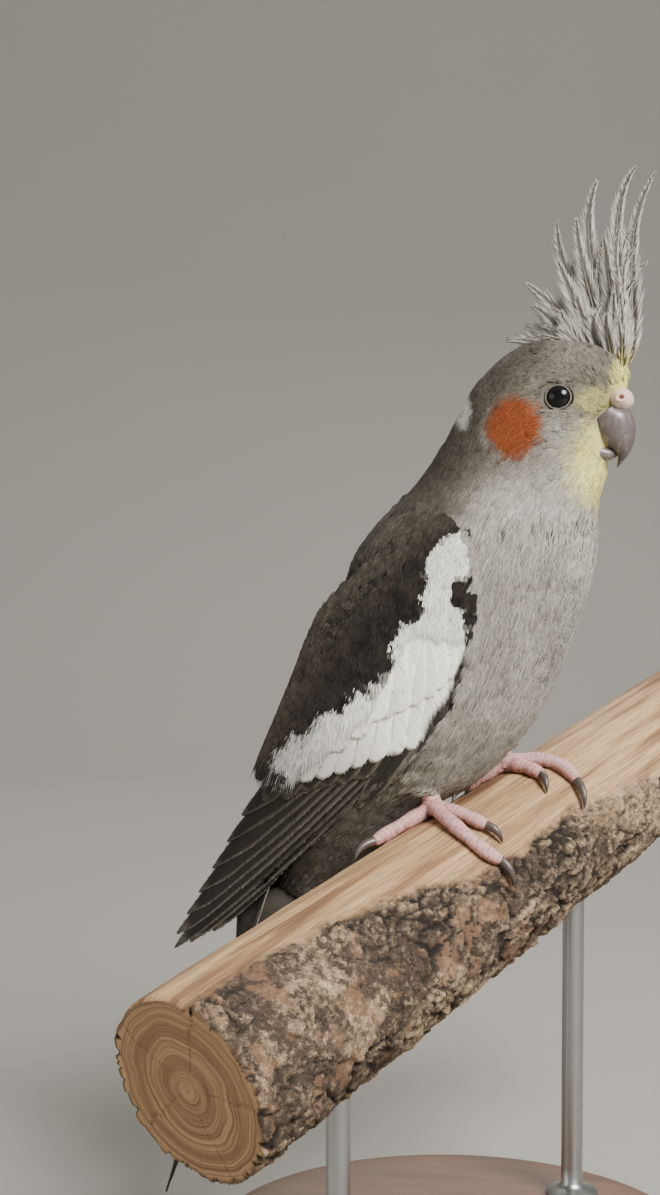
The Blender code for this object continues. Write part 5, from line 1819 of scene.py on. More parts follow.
@dataclass
class Down:
    """Soft small coverts over the upper wing, as fans of fine barbs."""

    count: int = 1250
    barbs: int = 13
    span: Pair = (-2.5, 90.0)
    length: Pair = (6.2, 0.10)
    barb: float = 0.34
    heights: Triple = (2.4, 3.25, 3.05)

    def build(self, finish: Material) -> None:
        """Build the small coverts of both wings."""
        draw = np.random.default_rng(SEED + 60)
        count = self.count
        along = self.span[0] + (self.span[1] - self.span[0]) * draw.random(count)
        low, top = WING.edges(along)
        patch = curve_rows(along, np.array(WING.white_top))[:, 0]
        floor = patch + 1.0 + (low + 3.0 - patch - 1.0) * step(along, 30.0, 20.0)
        across = floor + (top - 0.4 - floor) * draw.random(count)
        upper = np.clip((across - patch) / (top - patch), 0.0, 1.0)
        turn = -26.0 + 30.0 * upper + 12.0 * step(along, 40.0, 90.0) * (1 - upper)
        turn = np.radians(turn + draw.normal(0.0, 4.0, count))
        run = packed(np.cos(turn), np.sin(turn))[:, None]
        side = run[..., ::-1] * np.array([-1.0, 1.0])
        size = (self.length[0] + self.length[1] * along) * draw.uniform(0.85, 1.15, count)
        fan = np.linspace(-1.0, 1.0, self.barbs)
        fan = fan + draw.normal(0.0, 0.5 / self.barbs, (count, self.barbs))
        reach = size[:, None] * (1.0 - 0.3 * fan**2) * draw.uniform(0.86, 1.05, fan.shape)
        start = size[:, None] * 0.16 * np.abs(fan)
        spread = size[:, None] * 0.17 * fan
        centre = packed(along, across)
        points = []
        for height, ahead, aside in zip(self.heights, (start, (start + reach) / 2, reach),
                                        (spread * 0.3, spread * 0.8, spread)):
            spot = centre[:, None] + run * ahead[..., None] + side * aside[..., None]
            spot[..., 1] = WING.held(spot)
            level = height + draw.uniform(-0.1, 0.15, fan.shape)
            points.append(WING.point(spot, level).reshape(-1, 3))
        white = Wing().white(centre + run[:, 0] * size[:, None] * 0.8)
        shade = 0.01 + 0.13 * step(upper, 0.35, 0.8) + draw.uniform(0.0, 0.06, count)
        marks = packed(0.0, 0.0, shade, white)
        tones = packed(np.repeat(draw.random(count), self.barbs), draw.random(count * self.barbs))
        outs = np.tile([0.0, -1.0, 0.0], (len(points[0]), 1))
        spots = packed(0.05 + 0.009 * along, 0.5 + 0.01 * across)
        surface = Surface()
        BARBS.add(surface, *points, outs, self.barb * draw.uniform(0.8, 1.2, len(outs)),
                  np.repeat(spots, self.barbs, axis=0), np.repeat(marks, self.barbs, axis=0),
                  tones, soft=True)
        emit_pair(surface, "wing_%s_down", finish, "wing_feather")


@dataclass
class TailVane:
    """One tail feather by its pair, counted from the middle, and its side."""

    pair: int
    side: Side
    start: Triple = (-46.0, 0.0, 8.0)
    down: Triple = (-0.342, 0.0, -0.940)
    dorsal: Triple = (-0.940, 0.0, 0.342)
    root: float = 26.0
    thick: float = 0.4

    @property
    def length(self) -> float:
        """Distance of the tip from the tail's start."""
        return 150.0 - 11.0 * self.pair - (3.0 if self.side is Side.LEFT and self.pair == 0 else 0)

    def half(self, share: Array) -> Array:
        """Half width at shares of the feather."""
        if self.pair == 0:
            table = ((0.0, 0.7), (0.31, 0.9), (0.5, 1.0), (0.75, 0.8), (0.92, 0.42), (1.0, 0.06))
        else:
            table = ((0.0, 0.7), (0.3, 0.9), (0.6, 1.0), (0.85, 0.85), (0.96, 0.5), (1.0, 0.06))
        return (5.2 if self.pair == 0 else 4.7) * curve_rows(share, np.array(table))[..., 0]

    def at(self, t: Array, across: Array, level: float) -> Array:
        """Points of the feather, from its root at 0 to its tip at 1."""
        low = self.root / self.length
        share = low + (1 - low) * t
        sign = self.side.value
        spread = (0.9 + 1.55 * self.pair) * (0.55 + 0.65 * share)
        bend = -4.0 * share**2
        half = self.half(t)
        depth = 1.0 - 0.62 * self.pair + (0.45 if sign > 0 else 0.0)
        rise = depth + 0.25 * (1 - across**2) - 0.1 * sign * across * half + level + bend
        out = (np.array(self.start) + np.array(self.down) * (self.length * share)[..., None]
               + np.array(self.dorsal) * rise[..., None])
        out[..., 1] += sign * spread + across * half
        return out


@dataclass
class Tail:
    """Tail of twelve graduated feathers over a short core."""

    along: int = 40
    across: int = 13
    core_sides: int = 48
    fringe: int = 150

    def build(self, finish: Material) -> None:
        """Build the tail."""
        draw = np.random.default_rng(SEED + 70)
        surface = Surface()
        self.add_core(surface)
        t, c = np.meshgrid(np.linspace(0, 1, self.along) ** 0.9, np.linspace(-1, 1, self.across),
                           indexing="ij")
        for k, (pair, side) in enumerate((p, s) for p in range(6) for s in Side):
            vane = TailVane(pair, side)
            tone = draw.random()
            pale = 0.35 if pair < 4 else 0.9
            web = packed(vane.half(t) / 10, 0.0, pale, 0.12 + 0.05 * pair)
            patch = packed(0.02 + 0.9 * t, 0.02 + 0.075 * k + 0.03 * (c + 1))
            add_sheet(surface, vane.at(t, c, vane.thick), vane.at(t, c, 0.0), patch,
                      vane=packed(t, c, tone, vane.length / 100), web=web)
            self.add_fringe(surface, vane, tone, pale, 0.02 + 0.075 * k, draw)
        emit(surface.build("tail_feathers"), finish, "tail_feather", "tail")

    def add_core(self, surface: Surface) -> None:
        """Add the short root that leaves the body."""
        first = BODY.rings(np.array([20.0]), turns_of(self.core_sides), np.array([1.5]))[0]
        middle = first.mean(axis=0)
        vane = TailVane(0, Side.RIGHT)
        down, dorsal = np.array(vane.down), np.array(vane.dorsal)
        rings = [first]
        for share, scale in ((0.2, 0.92), (0.4, 0.8), (0.7, 0.6), (1.0, 0.38)):
            centre = np.array(vane.start) + down * (50.0 + 18.0 * share) - dorsal * 1.0
            rings.append(centre + (first - middle) * scale)
        rings = np.array(rings)
        points = np.concatenate([rings.reshape(-1, 3), rings[[0, -1]].mean(axis=1)])
        patch, still, web = (np.tile(row, (len(points), 1)) for row in (
            [0.97, 0.97], [0.3, 0.0, 0.5, 1.0], [0.5, 0.0, 0.0, 0.3]))
        faces = outward(points, *tube_faces(len(rings), self.core_sides))
        surface.add(points, *faces, patch, vane=still, web=web)

    def add_fringe(self, surface: Surface, vane: TailVane, tone: float, pale: float,
                   strip: float, draw: Draw) -> None:
        """Add the loose barbs of one tail feather's edges."""
        count = self.fringe
        share = np.sort(1 - 0.9 * draw.random(count) ** 1.3)
        sign = np.where(draw.random(count) < 0.5, -1.0, 1.0)
        roots = vane.at(share - 0.012, sign * 0.85, 0.25)
        mids = vane.at(share, sign * 0.98, 0.3)
        tips = vane.at(np.clip(share + draw.uniform(0.002, 0.012, count), 0, 1.0),
                       sign * draw.uniform(1.02, 1.14, count), 0.2)
        tips = tips + np.array(vane.down) * draw.uniform(0.0, 1.2, count)[:, None]
        outs = np.tile(vane.dorsal, (count, 1))
        spots = packed(0.02 + 0.9 * share, strip + 0.03 * (1 + sign * 0.9))
        rows = packed(share, sign * 0.97, tone, vane.length / 100)
        add_loose(surface, roots, mids, tips, outs, draw.uniform(0.2, 0.32, count), spots,
                  rows, np.tile([0.45, 0.0, pale, 0.2], (count, 1)))


@dataclass
class Crest:
    """Crest feathers, each a fine shaft with free barbs on both sides."""

    feathers: Table = (
        (51.4, 128.6, 57.0, 148.0, 47.4, 168.0, 60.2, 188.1, 0.5, 2.3),
        (50.2, 129.0, 51.4, 152.0, 44.0, 176.0, 54.2, 189.0, -1.5, 2.6),
        (51.0, 129.0, 54.2, 146.0, 49.2, 160.0, 50.2, 172.5, 2.2, 2.4),
        (48.6, 129.6, 49.8, 144.0, 46.0, 156.0, 45.2, 168.5, -2.6, 2.6),
        (47.0, 130.2, 45.0, 148.0, 35.6, 170.0, 42.6, 185.9, 0.6, 2.9),
        (46.2, 130.4, 43.2, 146.0, 37.4, 160.0, 36.7, 174.4, -1.8, 2.6),
        (44.6, 131.0, 42.6, 144.0, 30.4, 157.0, 30.4, 173.9, 1.6, 2.9),
        (43.4, 131.2, 39.6, 143.0, 35.0, 152.0, 31.4, 162.0, -2.6, 2.6),
        (41.8, 131.6, 38.6, 141.0, 30.0, 149.0, 21.7, 155.6, 0.4, 2.6),
        (40.0, 132.0, 35.6, 138.0, 29.6, 145.0, 24.0, 148.6, -2.0, 2.3),
        (37.4, 132.6, 33.4, 136.6, 28.0, 141.0, 21.4, 142.6, 0.8, 2.2),
        (33.4, 133.2, 28.8, 136.4, 22.8, 139.6, 16.0, 138.6, -0.6, 2.0),
    )
    small: int = 84
    barbs: int = 140
    rings: int = 30
    sides: int = 6
    radii: Pair = (0.36, 0.22)
    shape: Pairs = (
        (0.0, 0.8), (0.2, 1.35), (0.45, 1.05), (0.7, 0.62), (0.9, 0.32), (1.0, 0.12))

    def line(self, row: Array, share: Array) -> tuple[Array, Array]:
        """Points and directions of a shaft at shares along it."""
        aside = row[8]
        base = np.array([row[0], aside * 0.4, row[1]])
        first = np.array([row[2], aside * 0.6, row[3]])
        second = np.array([row[4], aside * 0.8, row[5]])
        tip = np.array([row[6], aside, row[7]])
        s = share[:, None]
        rest = 1 - s
        here = base * rest**3 + first * 3 * s * rest**2 + second * 3 * s**2 * rest + tip * s**3
        ahead = ((first - base) * rest**2 + (second - first) * 2 * s * rest + (tip - second) * s**2)
        return here, unit(ahead)

    def tones(self, spots: Array, share: Array) -> Array:
        """Marks by place: yellowish low in front, pale grey above, darker to the tips."""
        high = spots[..., 2]
        yellow = 0.6 * step(high, 140.0, 130.0) * step(spots[..., 0], 43.0, 50.0)
        shade = 0.40 + 0.26 * step(high, 132.0, 142.0) - 0.12 * step(share, 0.6, 1.0)
        return packed(0.0, yellow, shade, 0.0)

    def add_feather(self, surface: Surface, row: Array, barbs: int, radius: float,
                    draw: Draw) -> None:
        """Add one crest feather.

        Args:
            surface: the piece it joins.
            row: its shaft and half width.
            barbs: number of barbs on each side.
            radius: radius of the shaft at its base.
            draw: source of its chance values.
        """
        share = np.linspace(0.0, 1.0, self.rings)
        path, _ = self.line(row, share)
        radii = radius * (1.0 - 0.86 * share)
        dark = self.tones(path, share)
        dark[:, 2] -= 0.2
        marks = np.repeat(dark[:, None], self.sides, axis=1)
        strand = np.tile([0.5, 0.4, 0.3, 0.0], (self.rings, self.sides, 1))
        shaft = Surface()
        add_tube(shaft, path, radii, np.array([0.0, 1.0, 0.0]), self.sides, marks=marks,
                 strand=strand)
        points = shaft.points[0]
        surface.add(points, shaft.quads[0], shaft.tris[0], patch=body_unwrap(points),
                    marks=shaft.values["marks"][0], strand=shaft.values["strand"][0])
        for sign in (-1.0, 1.0):
            s = np.sort(np.clip(np.linspace(0.03, 0.985, barbs)
                                + draw.normal(0, 0.006, barbs), 0.01, 0.99))
            here, ahead = self.line(row, s)
            across = unit(np.cross(ahead, [0.0, 1.0, 0.0])) * sign
            half = row[9] * curve_rows(s, np.array(self.shape))[..., 0]
            half *= draw.uniform(0.75, 1.2, barbs)
            slant = np.radians(draw.uniform(14.0, 23.0, barbs))
            reach = half / np.sin(slant)
            aside = draw.normal(0.0, 0.45, barbs)
            leaf = np.array([0.0, 1.0, 0.0]) * aside[:, None]
            way = ahead * np.cos(slant)[:, None] + across * np.sin(slant)[:, None]
            mids = here + way * (reach * 0.5)[:, None] + across * (half * 0.12)[:, None]
            mids = mids + leaf * 0.35
            tips = here + way * reach[:, None] + leaf
            outs = np.tile([0.0, -1.0, 0.0], (barbs, 1))
            tones = packed(draw.random(), draw.random(barbs))
            BARBS.add(surface, here, mids, tips, outs, draw.uniform(0.26, 0.38, barbs),
                      body_unwrap(here), self.tones(tips, s), tones)

    def build(self, finish: Material) -> None:
        """Build the crest and the small feathers round its foot."""
        draw = np.random.default_rng(SEED + 90)
        surface = Surface()
        rows = np.array(self.feathers)
        barbs = self.barbs
        for row in rows:
            self.add_feather(surface, row, barbs, self.radii[0], draw)
        for _ in range(self.small):
            at = draw.uniform(0, len(rows) - 1)
            row = through(rows, np.array([at]))[0]
            size = draw.uniform(0.3, 0.78)
            base = row[[0, 1]]
            for column in (2, 4, 6):
                row[[column, column + 1]] = base + (row[[column, column + 1]] - base) * size
            row[[6, 7]] += draw.normal(0.0, 2.2, 2)
            row[8] = draw.normal(0.0, 2.6)
            row[9] = draw.uniform(1.3, 2.2)
            self.add_feather(surface, row, barbs // 2, self.radii[1], draw)
        emit(surface.build("crest_feathers"), finish, "body_feather")


@dataclass
class Head:
    """Eyes with their lids, bill, and cere with its nostrils."""

    eye_radius: float = 4.5
    eye_grid: tuple[int, int] = (46, 64)
    lid_grid: tuple[int, int] = (160, 14)
    lid_puckers: int = 34
    upper_grid: tuple[int, int] = (56, 56)
    lower_grid: tuple[int, int] = (36, 44)
    cere_grid: tuple[int, int] = (80, 96)
    opening: float = 3.4
    upper: Table = (
        (49.5, 119.5, 41.5, 112.5, 6.2),
        (53.2, 117.0, 42.8, 110.0, 6.2),
        (54.6, 112.5, 44.8, 107.0, 5.6),
        (54.4, 108.2, 47.6, 105.4, 4.4),
        (52.8, 104.2, 49.4, 103.8, 2.7),
        (50.6, 101.4, 49.4, 101.8, 0.9),
    )
    upper_tip: Pair = (49.2, 100.0)
    lower: Table = (
        (42.0, 109.6, 40.5, 102.6, 5.2),
        (45.6, 107.0, 44.2, 101.6, 4.7),
        (48.4, 105.6, 47.2, 102.0, 3.4),
        (49.6, 104.2, 48.8, 102.9, 1.5),
    )
    lower_tip: Pair = (49.5, 103.4)
    cere_radii: Triple = (3.7, 6.4, 3.6)
    nostril: Triple = (51.0, 5.6, 120.9)
    nostril_radius: float = 0.95

    def ball(self, rings: int, sides: int) -> tuple[Array, Array, Array, Array, Array]:
        """Unit ball round the Y axis: points, faces, angle from the pole and turn."""
        down = np.linspace(0, math.pi, rings + 2)[1:-1]
        d, a = np.meshgrid(down, turns_of(sides), indexing="ij")
        points = packed(np.sin(d) * np.cos(a), np.cos(d), np.sin(d) * np.sin(a))
        points = np.concatenate([points.reshape(-1, 3), [[0, 1, 0], [0, -1, 0]]])
        polar = np.concatenate([d.ravel(), [0.0, math.pi]])
        round_ = np.concatenate([a.ravel(), [0.0, 0.0]])
        quads, tris = tube_faces(rings, sides)
        return points, *outward(points, quads, tris), polar, round_

    def build_eyes(self, eye_finish: Material, lid_finish: Material) -> None:
        """Build both eyes and both rings of lid skin."""
        for side in Side:
            sign = side.value
            ball, quads, tris, polar, turn = self.ball(*self.eye_grid)
            centre = np.array(EYE) * np.array([1.0, sign, 1.0])
            if sign < 0:
                polar = math.pi - polar
            points = centre + ball * self.eye_radius
            out = np.sin(polar) * self.eye_radius / self.opening
            out = np.where(polar > math.pi / 2, 2.0, out)
            eye = Surface()
            eye.add(points, quads, tris, iris=packed(out / 1.3, turn / math.tau, 0.0, 0.0))
            emit(eye.build("eye_ball_" + side.word), eye_finish, "eye", "eye_" + side.word)
            self.build_lid(side, lid_finish)

    def build_lid(self, side: Side, finish: Material) -> None:
        """Build the puckered ring of skin round one eye."""
        rings, sides = self.lid_grid
        a, b = np.meshgrid(turns_of(rings), turns_of(sides), indexing="ij")
        pucker = np.sin(a * self.lid_puckers + 0.8 * np.sin(a * 5)) * 0.5 + 0.5
        size = 0.24 + 0.12 * (1 - pucker) * step(np.cos(b), 1.0, -0.6)
        size = size + 0.05 * noise(packed(a * 6, b * 2), 3)
        out = EYE[1] + math.sqrt(self.eye_radius**2 - self.opening**2) + 0.12
        far = self.opening + 0.18 - np.cos(b) * size
        high = out + np.sin(b) * size * 0.85
        points = packed(EYE[0] + np.cos(a) * far * 1.04, side.value * high,
                        EYE[2] + np.sin(a) * far * 0.97)
        k, j = grid_of(rings, sides)
        k, n, m = k * sides, (k + 1) % rings * sides, (j + 1) % sides
        quads = np.stack([k + j, n + j, n + m, k + m], -1).reshape(-1, 4)
        flat = points.reshape(-1, 3)
        quads, _ = outward(flat, quads, np.zeros((0, 3), np.int64))
        # pucker hollows get low fold numbers, which the lid finish paints as shade
        rows = packed(1 - 0.8 * pucker, 0.15 * pucker, 0.5, 0.0)
        lid = Surface()
        lid.add(flat, quads, fold=rows.reshape(-1, 4))
        emit(lid.build("eyelid_" + side.word), finish, "cere_skin")

    def bill_half(self, table: Table, tip: Pair,
                  rings: int, sides: int) -> tuple[Array, Array, Array, Array]:
        """Loft of a bill half: points, faces, and horn numbers."""
        rows = np.array(table)
        shares = np.linspace(0, len(rows) - 1, rings)
        row = through(rows, shares)
        turns = turns_of(sides)
        ridge, cut, half = row[:, 0:2], row[:, 2:4], row[:, 4]
        middle = (ridge + cut) / 2
        reach, wide = rounded(np.cos(turns), 2.3), rounded(np.sin(turns), 2.1)
        xz = middle[:, None] + (ridge - middle)[:, None] * reach[None, :, None]
        y = half[:, None] * wide[None]
        points = packed(xz[..., 0], y, xz[..., 1])
        along = np.linspace(0, 0.96, rings)[:, None]
        numbers = packed(along, reach * 0.5 + 0.5, step(reach, -0.55, -0.95), 0.0)
        ends = [points[0].mean(axis=0), [tip[0], 0.0, tip[1]]]
        flat = np.concatenate([points.reshape(-1, 3), ends])
        numbers = np.concatenate([numbers.reshape(-1, 4), [[0, 0.5, 0, 0], [1, 0.5, 0, 0]]])
        quads, tris = outward(flat, *tube_faces(rings, sides))
        return flat, quads, tris, numbers

    def build_bill(self, finish: Material) -> None:
        """Build the upper and the lower half of the bill."""
        flat, quads, tris, numbers = self.bill_half(self.upper, self.upper_tip, *self.upper_grid)
        side = np.abs(flat[:, 1])
        tooth = np.exp(-((flat[:, 2] - 106.2) / 1.5) ** 2) * numbers[:, 2]
        flat[:, 2] += tooth * 0.7
        lines = noise(packed(numbers[:, 0] * 20, side * 0.25), 2)
        centre = np.array([48.5, 0.0, 110.0])
        flat = flat + unit(flat - centre) * (0.06 * lines)[:, None]
        upper = Surface()
        upper.add(flat, quads, tris, horn=numbers)
        emit(upper.build("bill_upper"), finish, "beak", "beak_upper")
        flat, quads, tris, numbers = self.bill_half(self.lower, self.lower_tip, *self.lower_grid)
        numbers[:, 2] = np.maximum(numbers[:, 2], 0.15)
        numbers[:, 0] = 0.35 + 0.5 * numbers[:, 0]
        shrink = np.array([45.0, 0.0, 105.0])
        flat = shrink + (flat - shrink) * np.array([0.97, 0.93, 0.95])
        lower = Surface()
        lower.add(flat, quads, tris, horn=numbers)
        emit(lower.build("bill_lower"), finish, "beak", "beak_lower")

    def build_cere(self, finish: Material) -> None:
        """Build the swollen cere with a ringed nostril on each side."""
        ball, quads, tris, _, _ = self.ball(*self.cere_grid)
        points = np.array(CERE) + ball * np.array(self.cere_radii)
        middle = 1.0 - 0.10 * np.exp(-(points[:, 1] / 1.1) ** 2)
        points = np.array(CERE) + (points - np.array(CERE)) * middle[:, None]
        folds = noise(points * np.array([1.4, 1.0, 1.4]), 6)
        points = points + ball * (0.12 * folds)[:, None]
        flush = np.zeros(len(points))
        ridge = 0.72 + 0.2 * folds
        for side in Side:
            hole = np.array([self.nostril[0], side.value * self.nostril[1], self.nostril[2]])
            flat = (points - hole)[:, [0, 2]] / np.array([1.0, 0.86])
            far = np.linalg.norm(flat, axis=1)
            near = (points[:, 1] * side.value > 0).astype(float)
            dent = step(far, self.nostril_radius * 1.15, self.nostril_radius * 0.55) * near
            rim = np.exp(-((far - self.nostril_radius * 1.5) / 0.42) ** 2) * near
            points = points - ball * (dent * 1.5)[:, None] + ball * (rim * 0.28)[:, None]
            flush = np.maximum(flush, np.exp(-(far / 2.2) ** 2) * near)
            # the nostrils' dents get low fold numbers: painted shade in the nostrils
            ridge = ridge * (1 - 0.9 * dent)
        rows = packed(np.clip(ridge, 0, 1), flush, 0.6 + 0.2 * folds, 0.0)
        cere = Surface()
        cere.add(points, quads, tris, fold=rows)
        emit(cere.build("cere_skin"), finish, "cere_skin", "cere")


@dataclass
class Feet:
    """Scaled feet and curved claws on the branch."""

    toe_radius: float = 2.15
    toe_grid: tuple[int, int] = (84, 24)
    toe_pitch: float = 1.55
    shank_grid: tuple[int, int] = (40, 28)
    shank_pitch: float = 1.9
    claw_radius: float = 1.25
    claw_grid: tuple[int, int] = (30, 16)
    lift: float = 2.3
    shank: tuple[float, ...] = (2.7, 2.85, 2.45, 2.4)
    widths: Pairs = (
        (0.0, 1.15), (0.2, 1.0), (0.4, 1.06), (0.6, 0.9), (0.8, 0.99), (1.0, 0.76))

    def stations(self, plan: FootPlan, toe: ToePlan, shares: Array) -> Array:
        """Angle and place of the toe's line at shares of its length."""
        start, end = np.array(plan.hub), np.array(toe.end)
        bend = np.array(toe.bend) * 2 - (start + end) / 2
        s = shares[:, None]
        return start * (1 - s) ** 2 + bend * 2 * s * (1 - s) + end * s**2

    def toe_line(self, plan: FootPlan, toe: ToePlan, count: int) -> Array:
        """Middle line of a toe."""
        shares = np.linspace(0, 1, count)
        spots = self.stations(plan, toe, shares)
        path = BRANCH.point(spots[:, 0], spots[:, 1], self.lift)
        pull = step(shares, 0.24, 0.0)[:, None]
        return path + (plan.hub_point() - path[0]) * pull

    def scales(self, length: float, rings: int, sides: int,
               pitch: float) -> tuple[Array, Array]:
        """Radius shares and fold numbers of rows of scutes over a granular underside."""
        s = np.linspace(0, 1, rings)[:, None] * length
        turn = np.broadcast_to(turns_of(sides), (rings, sides))
        upper = step(np.sin(turn), -0.25, 0.35)
        phase = s / pitch + 0.12 * np.cos(turn * 2)
        saw = phase - np.floor(phase)
        band = step(saw, 0.0, 0.22) * step(saw, 1.02, 0.9)
        seed = hashed(np.floor(phase[:, :1]).astype(np.int64), 4)
        grain = noise(packed(s / 0.55, turn * 3.2), 8)
        plate = 0.055 * (band - 0.5) * upper + 0.035 * grain * (1 - upper)
        # ridge is low between the scutes, where the foot finish paints shade
        ridge = band * upper + (0.5 + 0.4 * grain) * (1 - upper)
        folds = packed(np.clip(ridge, 0, 1), 0.35 + 0.4 * (1 - upper), 0.35 + 0.5 * seed[:, None],
                       0.0)
        return 1.0 + plate, folds

    def build(self, skin: Material, horn: Material) -> None:
        """Build both feet and all claws."""
        for plan in FEET:
            surface = Surface()
            hub = plan.hub_point()
            top = plan.shank_top()
            path = np.array([hub + [0.0, 0.0, -1.6], hub + [-0.5, 0.0, 1.6],
                             top - [0.0, 0.0, 1.0], top + [0.0, 0.0, 2.0]])
            rows = through(np.column_stack([path, self.shank]), np.linspace(0, 3, self.shank_grid[0]))
            shape, folds = self.scales(10.0, *self.shank_grid, self.shank_pitch)
            add_tube(surface, rows[:, :3], rows[:, 3], np.array([1.0, 0.0, 0.0]),
                     self.shank_grid[1], shape=shape, fold=folds)
            for toe in plan.toes:
                self.add_toe(surface, plan, toe)
            emit(surface.build("foot_skin_" + plan.side.word), skin, "foot_skin",
                 "foot_" + plan.side.word)
            for index, toe in enumerate(plan.toes):
                self.build_claw(plan, toe, index + 1, horn)

    def add_toe(self, surface: Surface, plan: FootPlan, toe: ToePlan) -> None:
        """Add one toe."""
        count, sides = self.toe_grid
        path = self.toe_line(plan, toe, count)
        length = float(np.linalg.norm(np.diff(path, axis=0), axis=1).sum())
        shares = np.linspace(0, 1, count)
        radii = self.toe_radius * curve_rows(shares, np.array(self.widths))[..., 0]
        radii = radii * np.sqrt(np.clip(1.02 - step(shares, 0.93, 1.01) * 0.75, 0.05, 1))
        middle = self.stations(plan, toe, np.array([0.45]))[0]
        out = path[count // 2] - BRANCH.point(*middle, -10.0)
        shape, folds = self.scales(length, count, sides, self.toe_pitch)
        add_tube(surface, path, radii, unit(out), sides, shape=shape, fold=folds)

    def build_claw(self, plan: FootPlan, toe: ToePlan, number: int, finish: Material) -> None:
        """Build one claw, from inside the toe's end to its point."""
        line = self.toe_line(plan, toe, 60)
        ahead = unit(line[-1] - line[-8])
        start = line[-1] - ahead * 0.9
        end = BRANCH.point(*toe.claw, 0.55)
        mid = np.array(toe.end) * 0.45 + np.array(toe.claw) * 0.55
        arch = BRANCH.point(*mid, self.lift + 1.9)
        share = np.linspace(0.0, 0.96, self.claw_grid[0])[:, None]
        path = start * (1 - share) ** 2 + arch * 2 * share * (1 - share) + end * share**2
        table = np.array([(0.0, 1.05), (0.3, 1.0), (0.6, 0.72), (0.85, 0.36), (0.96, 0.14)])
        radii = self.claw_radius * curve_rows(share[:, 0], table)[..., 0]
        deep = BRANCH.point(*toe.claw, -10.0)
        turn = turns_of(self.claw_grid[1])
        shape = 1.0 + 0.12 * np.maximum(np.sin(turn), 0) ** 4
        rows = packed(share, np.sin(turn) * 0.5 + 0.5, 0.0, 0.0)
        claw = Surface()
        add_tube(claw, path, radii, unit(arch - deep), self.claw_grid[1], tip=end, shape=shape,
                 horn=rows)
        name = plan.side.word + "_%d" % number
        emit(claw.build("claw_horn_" + name), finish, "claw", "claw_" + name)


